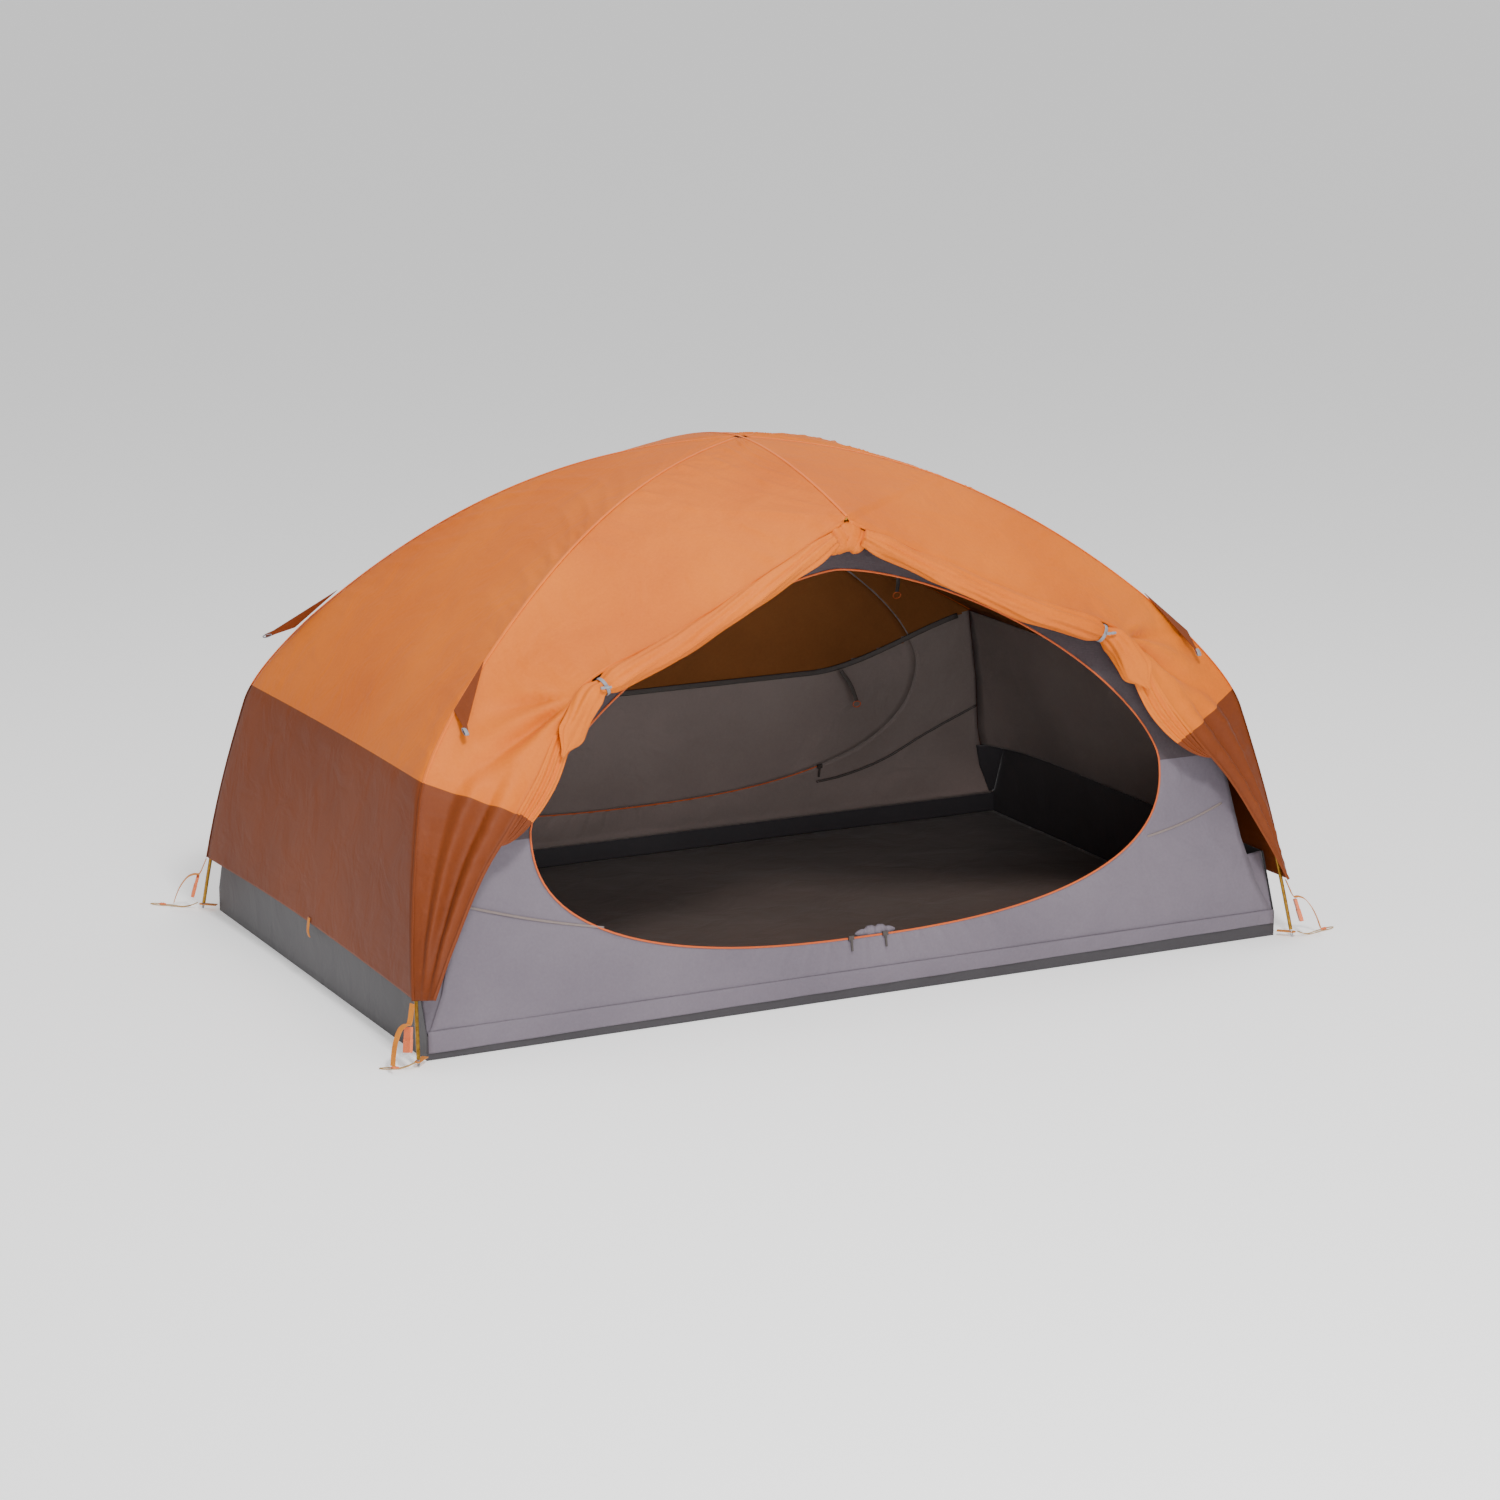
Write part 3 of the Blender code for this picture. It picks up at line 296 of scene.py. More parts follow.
@dataclass(frozen=True)
class Cloth:
    """A woven cloth: colour that drifts across the panel, weave relief, soft creases, sheen."""

    name: str
    colour: tuple[float, float, float]
    shade: tuple[float, float, float]
    weave: Weave = Weave.TAFFETA
    roughness: float = 0.62
    sheen: float = 0.15
    glow: float = 0.0
    crease: float = 0.35
    drift: float = 2.2
    alpha: float = 1.0

    def make(self) -> bpy.types.Material:
        """Builds the node material.

        Returns:
            The finish, reading Object coordinates for drift and the cloth UV map for the weave.
        """
        made = bpy.data.materials.new(self.name)
        made.use_nodes = True
        tree = made.node_tree
        nodes, links = tree.nodes, tree.links
        shader = nodes["Principled BSDF"]
        place = nodes.new("ShaderNodeTexCoord")
        cloud = nodes.new("ShaderNodeTexNoise")
        cloud.inputs["Scale"].default_value = self.drift
        cloud.inputs["Detail"].default_value = 4.0
        links.new(place.outputs["Object"], cloud.inputs["Vector"])
        fleck = nodes.new("ShaderNodeTexNoise")
        fleck.inputs["Scale"].default_value = 160.0
        fleck.inputs["Detail"].default_value = 2.0
        links.new(place.outputs["Object"], fleck.inputs["Vector"])
        blend = nodes.new("ShaderNodeMath")
        blend.operation = "MULTIPLY_ADD"
        blend.inputs[1].default_value = 0.25
        links.new(fleck.outputs["Fac"], blend.inputs[0])
        links.new(cloud.outputs["Fac"], blend.inputs[2])
        ramp = nodes.new("ShaderNodeValToRGB")
        ramp.color_ramp.elements[0].position = 0.40
        ramp.color_ramp.elements[0].color = linear(self.shade)
        ramp.color_ramp.elements[1].position = 0.82
        ramp.color_ramp.elements[1].color = linear(self.colour)
        links.new(blend.outputs[0], ramp.inputs["Fac"])
        links.new(ramp.outputs["Color"], shader.inputs["Base Color"])
        uv = nodes.new("ShaderNodeUVMap")
        uv.uv_map = "cloth"
        rate, depth = self.weave.value
        threads = []
        for axis in ("X", "Y"):
            band = nodes.new("ShaderNodeTexWave")
            band.wave_type = "BANDS"
            band.bands_direction = axis
            band.inputs["Scale"].default_value = rate / 20
            band.inputs["Distortion"].default_value = 0.4
            links.new(uv.outputs["UV"], band.inputs["Vector"])
            threads.append(band)
        cross = nodes.new("ShaderNodeMath")
        cross.operation = "MULTIPLY"
        links.new(threads[0].outputs["Fac"], cross.inputs[0])
        links.new(threads[1].outputs["Fac"], cross.inputs[1])
        fold = nodes.new("ShaderNodeTexNoise")
        fold.inputs["Scale"].default_value = 9.0
        fold.inputs["Detail"].default_value = 3.0
        fold.inputs["Distortion"].default_value = 0.6
        links.new(place.outputs["Object"], fold.inputs["Vector"])
        creased = nodes.new("ShaderNodeBump")
        creased.inputs["Strength"].default_value = self.crease
        creased.inputs["Distance"].default_value = 0.012
        links.new(fold.outputs["Fac"], creased.inputs["Height"])
        woven = nodes.new("ShaderNodeBump")
        woven.inputs["Strength"].default_value = depth
        woven.inputs["Distance"].default_value = 0.0004
        links.new(cross.outputs[0], woven.inputs["Height"])
        links.new(creased.outputs["Normal"], woven.inputs["Normal"])
        links.new(woven.outputs["Normal"], shader.inputs["Normal"])
        shader.inputs["Roughness"].default_value = self.roughness
        shader.inputs["Sheen Weight"].default_value = self.sheen
        shader.inputs["Sheen Roughness"].default_value = 0.4
        shader.inputs["Specular IOR Level"].default_value = 0.3
        if self.alpha < 1:
            shader.inputs["Alpha"].default_value = self.alpha
        if self.glow > 0:
            through = nodes.new("ShaderNodeBsdfTranslucent")
            links.new(ramp.outputs["Color"], through.inputs["Color"])
            links.new(woven.outputs["Normal"], through.inputs["Normal"])
            both = nodes.new("ShaderNodeMixShader")
            both.inputs[0].default_value = self.glow
            links.new(shader.outputs[0], both.inputs[1])
            links.new(through.outputs[0], both.inputs[2])
            links.new(both.outputs[0], nodes["Material Output"].inputs["Surface"])
        return made


@dataclass(frozen=True)
class Hard:
    """A hard finish: moulded plastic, anodised tube or bare metal, with scuffs and grain."""

    name: str
    colour: tuple[float, float, float]
    shade: tuple[float, float, float]
    roughness: float
    metallic: float = 0.0
    grain: float = 300.0
    relief: float = 0.15

    def make(self) -> bpy.types.Material:
        """Builds the node material, reading Object coordinates."""
        made = bpy.data.materials.new(self.name)
        made.use_nodes = True
        nodes, links = made.node_tree.nodes, made.node_tree.links
        shader = nodes["Principled BSDF"]
        place = nodes.new("ShaderNodeTexCoord")
        noise = nodes.new("ShaderNodeTexNoise")
        noise.inputs["Scale"].default_value = self.grain
        noise.inputs["Detail"].default_value = 5.0
        links.new(place.outputs["Object"], noise.inputs["Vector"])
        ramp = nodes.new("ShaderNodeValToRGB")
        ramp.color_ramp.elements[0].position = 0.35
        ramp.color_ramp.elements[0].color = linear(self.shade)
        ramp.color_ramp.elements[1].position = 0.65
        ramp.color_ramp.elements[1].color = linear(self.colour)
        links.new(noise.outputs["Fac"], ramp.inputs["Fac"])
        links.new(ramp.outputs["Color"], shader.inputs["Base Color"])
        scuff = nodes.new("ShaderNodeMapRange")
        scuff.inputs["To Min"].default_value = max(0.05, self.roughness - 0.1)
        scuff.inputs["To Max"].default_value = min(1.0, self.roughness + 0.12)
        links.new(noise.outputs["Fac"], scuff.inputs["Value"])
        links.new(scuff.outputs[0], shader.inputs["Roughness"])
        bump = nodes.new("ShaderNodeBump")
        bump.inputs["Strength"].default_value = self.relief
        bump.inputs["Distance"].default_value = 0.0003
        links.new(noise.outputs["Fac"], bump.inputs["Height"])
        links.new(bump.outputs["Normal"], shader.inputs["Normal"])
        shader.inputs["Metallic"].default_value = self.metallic
        return made


@dataclass
class Finishes:
    """Every finish of the tent, made once and shared."""

    fly: bpy.types.Material = field(init=False)
    rust: bpy.types.Material = field(init=False)
    binding: bpy.types.Material = field(init=False)
    wall: bpy.types.Material = field(init=False)
    inside_wall: bpy.types.Material = field(init=False)
    tub: bpy.types.Material = field(init=False)
    mesh: bpy.types.Material = field(init=False)
    dark_mesh: bpy.types.Material = field(init=False)
    floor: bpy.types.Material = field(init=False)
    piping: bpy.types.Material = field(init=False)
    webbing: bpy.types.Material = field(init=False)
    pole: bpy.types.Material = field(init=False)
    metal: bpy.types.Material = field(init=False)
    buckle: bpy.types.Material = field(init=False)
    trim: bpy.types.Material = field(init=False)
    dark: bpy.types.Material = field(init=False)
    cord: bpy.types.Material = field(init=False)

    def __post_init__(self) -> None:
        """Builds each finish."""
        self.fly = Cloth("fly_orange", (226, 118, 16), (208, 100, 10), glow=0.15, sheen=0.05,
                         crease=0.7).make()
        self.rust = Cloth("fly_rust", (124, 56, 12), (106, 45, 8), glow=0.10, sheen=0.02, crease=0.6).make()
        self.binding = Cloth("seam_binding", (236, 122, 30), (224, 106, 22), glow=0.1, crease=0.1).make()
        self.wall = Cloth("wall_grey", (126, 117, 127), (110, 102, 112), glow=0.22, crease=0.7).make()
        # The inside grey is the wall grey painted lighter: painted light on the shaded inner walls, back
        # door and end walls
        self.inside_wall = Cloth("inside_grey", (170, 155, 151), (150, 136, 132), glow=0.50,
                                 crease=0.6).make()
        self.tub = Cloth("tub_charcoal", (62, 59, 62), (52, 49, 52), weave=Weave.COATED, roughness=0.55,
                         crease=0.2).make()
        # The brown mesh is the grey mesh painted orange-brown: painted light of the glowing orange fly seen
        # through it on the ceiling and the back wall
        self.mesh = Cloth("mesh_brown", (176, 114, 62), (152, 96, 50), weave=Weave.MESH, roughness=0.85,
                          sheen=0.0, glow=0.60, crease=0.15).make()
        self.dark_mesh = Cloth("mesh_grey", (94, 84, 88), (74, 64, 68), weave=Weave.MESH, roughness=0.85,
                               sheen=0.0, glow=0.3, crease=0.2).make()
        self.floor = Cloth("floor_brown", (80, 66, 60), (66, 54, 49), weave=Weave.COATED, roughness=0.5,
                           crease=0.4).make()
        self.piping = Cloth("door_piping", (196, 92, 40), (178, 78, 32), crease=0.05).make()
        self.webbing = Cloth("webbing_gold", (206, 126, 32), (180, 104, 22), weave=Weave.WEBBING,
                             roughness=0.75, crease=0.1, drift=30.0).make()
        self.pole = Hard("pole_gold", (172, 130, 50), (146, 106, 36), 0.30, 0.9, 120.0, 0.05).make()
        self.metal = Hard("tip_metal", (165, 165, 168), (130, 130, 134), 0.33, 1.0, 500.0).make()
        self.buckle = Hard("buckle_orange", (228, 116, 62), (206, 98, 50), 0.42, 0.0, 700.0, 0.25).make()
        self.trim = Hard("trim_grey", (136, 137, 143), (112, 113, 120), 0.5, 0.0, 900.0, 0.3).make()
        self.dark = Hard("zip_dark", (74, 66, 62), (50, 44, 42), 0.55, 0.0, 900.0, 0.4).make()
        self.cord = Cloth("cord_orange", (190, 150, 92), (150, 120, 74), weave=Weave.WEBBING,
                          crease=0.0, drift=90.0).make()


# ---------------------------------------------------------------- lines of the frame


@dataclass(frozen=True)
class FrameLines:
    """The tent's own lines in one quarter: pole, seams, door edge, vestibule and walls, in metres."""

    half_length: float = 1.1175
    half_width: float = 0.686
    knee_height: float = 0.630
    knee_blend: float = 0.12
    apex_height: float = 1.195
    arch_power: float = 2.1
    leg_bow: float = 0.016
    pole_diameter: float = 0.009
    ridge_diameter: float = 0.008
    fly_offset: float = 0.010
    ridge_half_span: float = 0.545
    hem_height: float = 0.140
    colour_height: float = 0.590
    ridge_s: float = 1.60
    apex_s: float = 1.985
    edge_ahead: float = 0.075
    eave_x: float = 0.965
    eave_height: float = 0.600
    wall_peak: float = 1.035

    @property
    def tip(self) -> Array:
        """The pole's foot."""
        return np.array([self.half_length + 0.0325, self.half_width + 0.0330, 0.0])

    @property
    def knee(self) -> Array:
        """The pole's bend."""
        return np.array([self.half_length - 0.0675, self.half_width - 0.14, self.knee_height])

    @property
    def hem_s(self) -> float:
        """The hem's place along the pole."""
        return self.hem_height / self.knee_height

    @property
    def colour_s(self) -> float:
        """The colour seam's place along the pole."""
        return self.colour_height / self.knee_height

    def raw_pole(self, s: Array) -> Array:
        """A straight bowed leg below the knee, then a power arch to the apex."""
        s = np.asarray(s, float)[..., None]
        leg = self.tip + (self.knee - self.tip) * s
        leg = leg + np.concatenate([self.leg_bow * np.sin(math.pi * s), 0 * s, 0 * s], axis=-1)
        share = np.clip(2 - s, 0, None)
        rise = self.apex_height - (self.apex_height - self.knee_height) * share**self.arch_power
        arch = np.concatenate([self.knee[0] * share, self.knee[1] * share, rise], axis=-1)
        return np.where(s <= 1, leg, arch)

    def pole(self, s: Array) -> Array:
        """raw_pole with its knee rounded by a parabola through the blend's two ends."""
        s = np.asarray(s, float)
        low, high = 1 - self.knee_blend, 1 + self.knee_blend
        t = np.clip((s - low) / (high - low), 0, 1)[..., None]
        a, b, c = self.raw_pole(np.array(low)), self.raw_pole(np.array(1.0)), self.raw_pole(np.array(high))
        bent = a * (1 - t) ** 2 + b * 2 * t * (1 - t) + c * t * t
        inside = ((s > low) & (s < high))[..., None]
        return np.where(inside, bent, self.raw_pole(s))

    def outward(self, s: Array) -> Array:
        """Away from the tent's middle and square to the pole."""
        step = 0.004
        tangent = unit(self.pole(np.minimum(s + step, 2.0)) - self.pole(np.maximum(s - step, 0.0)))
        out = self.pole(s) - np.array([0, 0, self.knee_height * 0.7])
        return unit(out - tangent * dot(out, tangent))

    def seam(self, s: Array) -> Array:
        """The fly's seam outside the pole, lifted near the apex."""
        s = np.asarray(s, float)
        lift = self.fly_offset + 0.012 * np.maximum(0.0, s - 1)[..., None] ** 8
        return self.pole(s) + self.outward(s) * lift

    def ridge_height(self, y: Array) -> Array:
        """The ridge pole's height."""
        apex = self.apex_height + self.pole_diameter + 0.0015 + self.ridge_diameter / 2
        return apex - 0.106 * (np.abs(y) / self.ridge_half_span) ** 1.7

    def wall_y(self, z: Array) -> Array:
        """Distance of the inner front and back walls from the middle at height z."""
        return self.half_width - (0.206 / (1.05 - 0.058)) * (np.asarray(z, float) - 0.058)

    def door_edge(self, s: Array) -> Array:
        """The open fly door's edge, a smooth line through its own places."""
        h = self.half_length
        rows = [
            (self.hem_s, h + 0.002, self.hem_height + 0.015), (0.50, h - 0.058, 0.270),
            (0.75, h - 0.148, 0.420), (self.colour_s, h - 0.238, 0.530), (1.03, h - 0.298, 0.610),
            (1.12, h - 0.352, 0.700), (1.20, h - 0.418, 0.790), (1.33, 0.450, 0.890),
            (1.47, 0.200, 1.005), (self.ridge_s, 0.002, 1.100),
        ]
        xz = hermite([r[0] for r in rows], np.array([r[1:] for r in rows]), s)
        return np.stack([xz[..., 0], self.wall_y(xz[..., 1]) + self.edge_ahead, xz[..., 1]], axis=-1)

    def ridge_seam(self, s: Array) -> Array:
        """The fly's line over the ridge pole."""
        y = (self.ridge_half_span + 0.008) * (2 - np.asarray(s, float)) / (2 - self.ridge_s)
        return np.stack([0 * y, y, self.ridge_height(y) + self.ridge_diameter / 2 + 0.0026], axis=-1)

    def front_line(self, s: Array) -> Array:
        """The door edge below the ridge end and the ridge seam above it."""
        s = np.asarray(s, float)
        low = self.door_edge(np.minimum(s, self.ridge_s))
        return np.where((s < self.ridge_s)[..., None], low, self.ridge_seam(np.maximum(s, self.ridge_s)))

    def back_line(self, s: Array) -> Array:
        """The vestibule's middle line below the ridge end and the ridge seam above it."""
        s = np.asarray(s, float)
        foot = np.array([0.0, self.half_width + 0.594, 0.06])
        top = self.ridge_seam(np.array(self.ridge_s))
        share = ((s - self.hem_s) / (self.ridge_s - self.hem_s))[..., None]
        low = foot + (top - foot) * share
        return np.where((s >= self.ridge_s)[..., None], self.ridge_seam(np.maximum(s, self.ridge_s)), low)

    def wall_top(self, share: Array) -> Array:
        """Height of a wall's top edge, from the eave at share 1 to the peak at 0."""
        return self.eave_height + (self.wall_peak - self.eave_height) * (1 - share**1.25)


LINES = FrameLines()


def between(start: Array, end: Array, v: Array, sag: float) -> Array:
    """Cloth between two seams: the chord, drawn in by sag times width squared times v(1 - v)."""
    span = end - start
    width = np.linalg.norm(span, axis=-1, keepdims=True)
    point = start + span * v
    inward = unit(np.array([0, 0, LINES.knee_height * 0.5]) - point)
    return point + inward * sag * width**2 * v * (1 - v)


# ---------------------------------------------------------------- fly


@dataclass
class Fly:
    """The fly: two ends, two front halves and two back halves, with bound seams."""

    finish: Finishes
    rows: int = 240
    end_columns: int = 56
    side_columns: int = 64
    cloth: float = 0.0008
    sag: float = 0.035
    binding_width: float = 0.0080
    binding_height: float = 0.0012
    tight_pitch: float = 0.047
    tight_height: float = 0.0060
    soft_pitch: float = 0.081
    soft_height: float = 0.0054
    swell_height: float = 0.0028
    calm_share: float = 0.30
    toggle_fold: float = 0.034
    drape_fold: float = 0.017

    def stations(self) -> Array:
        """Places along the pole, with one exactly on the colour seam."""
        below = max(6, int(self.rows * 0.40))
        low = np.linspace(LINES.hem_s, LINES.colour_s, below)
        return np.concatenate([low, np.linspace(LINES.colour_s, LINES.apex_s, self.rows - below)[1:]])

    def tension(self, grid: Array, v: Array, seed: int) -> Array:
        """Short wrinkles square to the seams, fading into the panel, over a slow swell.

        Each wrinkle is a thin ridge: max(0, sin)^3 of the distance along the seam, times exp of
        minus the distance from the seam over a fade length. Below the knee only a share of it is left.
        """
        s_run = np.zeros(grid.shape[:2])
        s_run[1:] = np.cumsum(np.linalg.norm(np.diff(grid, axis=0), axis=-1), axis=0)
        width = np.linalg.norm(np.diff(grid, axis=1), axis=-1).sum(axis=1)[:, None]
        wander = 0.05 * ripple(s_run, v * width, seed, 4, 3.0, 9.0)
        near, far = v * width, (1 - v) * width
        pull = np.maximum(0, np.sin(2 * math.pi * (s_run + wander) / self.tight_pitch)) ** 3
        soft = np.maximum(0, np.sin(2 * math.pi * (s_run - wander + 0.02) / self.soft_pitch)) ** 2
        strength = 0.5 + 0.5 * np.clip(ripple(s_run, 0 * v, seed + 7, 3, 4.0, 12.0), -1, 1)
        lift = self.tight_height * pull * strength * (np.exp(-near / 0.07) + np.exp(-far / 0.05))
        lift += self.soft_height * soft * (np.exp(-near / 0.13) + np.exp(-far / 0.13)) * strength
        high = smoothstep(LINES.knee_height - 0.10, LINES.knee_height + 0.08, grid[..., 2])
        lift = lift * (self.calm_share + (1 - self.calm_share) * high)
        lift += self.swell_height * ripple(s_run, v * width, seed + 3, 4, 3.0, 8.0)
        pinned = smoothstep(0, 0.03, near) * smoothstep(0, 0.03, far)
        return (lift * pinned)[..., None]

    def fan(self, grid: Array, toggle: Array, v: Array) -> Array:
        """Long folds spreading from a toggle: ridges in angle round it, dying with distance.

        The fold is |sin| of the angle, whose crests are round and whose troughs are sharp. Below the
        knee upright drapes, |sin| of the place across, run down to the panel's foot.
        """
        away = grid - toggle
        reach = np.linalg.norm(away, axis=-1)
        angle = np.arctan2(away[..., 2], np.abs(away[..., 0]) + 0.5 * np.abs(away[..., 1]))
        folds = np.abs(np.sin(7.5 * angle + 0.9)) - 0.5 + 0.35 * np.sin(19 * angle + 1.7)
        below = smoothstep(0.10, -0.10, away[..., 2]) * smoothstep(0.02, 0.10, reach)
        lift = self.toggle_fold * folds * below * np.exp(-reach / 0.26) * smoothstep(0.10, 0.55, v)
        drape = np.abs(np.sin(8.5 * v + 0.4)) ** 1.3 - 0.4 + 0.4 * np.sin(17.0 * v + 1.0)
        low = smoothstep(LINES.knee_height + 0.04, LINES.knee_height - 0.10, grid[..., 2])
        low = low * smoothstep(LINES.hem_height - 0.02, LINES.hem_height + 0.20, grid[..., 2])
        lift += self.drape_fold * drape * low * smoothstep(0.20, 0.55, v) * smoothstep(1.0, 0.93, v)
        return lift[..., None]

    def panel(self, name: str, start: Array, end: Array, s: Array, columns: int, nodes: Sequence[str],
              seed: int, fan: Array | None = None) -> bpy.types.Object:
        """One cloth panel between two seam lines, with its rust lower band.

        Args:
            name: the piece's name.
            start: the first seam's points.
            end: the second seam's points.
            s: the rows' places along the pole.
            columns: columns across.
            nodes: the plain solids it stands for.
            seed: picks its wrinkles.
            fan: the toggle that long folds spread from, on a door panel.

        Returns:
            The panel.
        """
        v = np.linspace(0, 1, columns)[None, :, None]
        grid = between(start[:, None], end[:, None], v, self.sag)
        normal = grid_normals(grid)
        away = np.sign(np.sum(normal * (grid - np.array([0, 0, 0.35])), axis=-1, keepdims=True).mean())
        grid = grid + normal * away * self.tension(grid, v[..., 0], seed)
        if fan is not None:
            grid = grid + normal * away * self.fan(grid, fan, v[..., 0])
        lower = int(np.searchsorted(s, LINES.colour_s - 1e-6))
        made = grid_mesh(name, grid, [self.finish.fly, self.finish.rust], lower,
                         outward=np.array([0, 0, 0.35]))
        thicken(made, self.cloth)
        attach(made, TENT)
        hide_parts(*nodes)
        declare_sheet(made, grid)
        return made

    def bind(self, name: str, path: Array, up: Array, material: bpy.types.Material) -> None:
        """A bound seam: a flat rounded tape on the cloth."""
        profile = ring(self.binding_width / 2, self.binding_height, 10, 2.6)
        tape = sweep(name, path, up, profile, material)
        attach(tape, TENT)
        LOG.info("binding %s", name)

    def tail(self, side: Side) -> None:
        """Loose door cloth below each toggle: it bulges from the edge by a sine arch, in deep folds.

        The offset across the edge is depth * sin(pi t)^0.7 * v; the folds are |sin| ridges along it.
        """
        t = np.linspace(0, 1, 90)
        s = LINES.colour_s - 0.10 + (1.222 - LINES.colour_s + 0.10) * t
        edge = LINES.door_edge(s)
        tangent = unit(np.gradient(edge, axis=0))
        inward = unit(np.cross(tangent, np.array([0, 1.0, 0.2])))
        inward = inward * -np.sign(inward[:, :1])
        v = np.linspace(0, 1, 26)
        depth = 0.052 * np.sin(math.pi * np.clip(t, 0, 1)) ** 0.7
        folds = 0.010 * (np.abs(np.sin(9 * v[None] * (1.3 - 0.5 * t[:, None]) + 4 * t[:, None])) - 0.5)
        folds = folds * np.sin(math.pi * np.clip(v, 0, 1))[None] ** 0.5 + 0.012 * v[None] ** 2
        forward = np.array([0, 1.0, 0.2])
        grid = edge[:, None] + inward[:, None] * (depth[:, None] * v)[..., None]
        grid = (grid - forward * (folds * np.sin(math.pi * t)[:, None])[..., None])
        grid = grid * np.array([side.value, -1, 1])
        lower = int(np.searchsorted(s, LINES.colour_s))
        made = grid_mesh(f"door_tail_{side.word}", grid, [self.finish.fly, self.finish.rust], lower,
                         outward=np.array([0, 0.4, 0.4]))
        thicken(made, self.cloth)
        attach(made, TENT)
        declare_sheet(made, grid)

    def build(self) -> None:
        """Makes the six panels and the bindings."""
        s = self.stations()
        seam, front, back = LINES.seam(s), LINES.front_line(s), LINES.back_line(s)
        out = LINES.outward(s)
        for side in Side:
            x = side.value
            f, b = np.array([x, -1, 1]), np.array([x, 1, 1])
            word = side.word
            self.panel(f"fly_end_{word}", seam * f, seam * b, s, self.end_columns,
                       [f"fly_end_{word}_upper", f"fly_end_{word}_lower"], 11 + x)
            self.panel(f"fly_front_{word}", seam * f, front * f, s, self.side_columns,
                       [f"fly_front_{word}_upper", f"fly_front_{word}_lower"], 21 + x,
                       fan=np.array([x * 0.700, -0.615, 0.775]))
            shifted = back * b + np.array([x * 0.005, 0, 0]) * (s < LINES.ridge_s)[:, None]
            self.panel(f"fly_porch_{word}", seam * b, shifted, s, self.side_columns,
                       [f"fly_back_{word}"], 31 + x)
            for flip, place in ((f, "front"), (b, "back")):
                line = seam * flip + out * flip * 0.0009
                for half, pick, material in (("low", s <= LINES.colour_s, self.finish.rust),
                                             ("high", s >= LINES.colour_s, self.finish.binding)):
                    self.bind(f"binding_{place}_{word}_{half}", line[pick], (out * flip)[pick], material)
            above = (s >= LINES.colour_s) & (s <= LINES.ridge_s)
            for half, pick, material in (("low", s <= LINES.colour_s, self.finish.rust),
                                         ("high", above, self.finish.fly)):
                self.bind(f"door_hem_{word}_{half}", front[pick] * f, np.array([0, -1.0, 0.25]), material)
            self.tail(side)
        top = s >= LINES.ridge_s
        run = LINES.ridge_seam(s[top])
        ridge = np.concatenate([run * np.array([1, -1, 1]), run[::-1]])
        self.bind("binding_ridge", ridge + np.array([0, 0, 0.0009]), np.array([0, 0, 1.0]),
                  self.finish.binding)


# ---------------------------------------------------------------- rolled doors


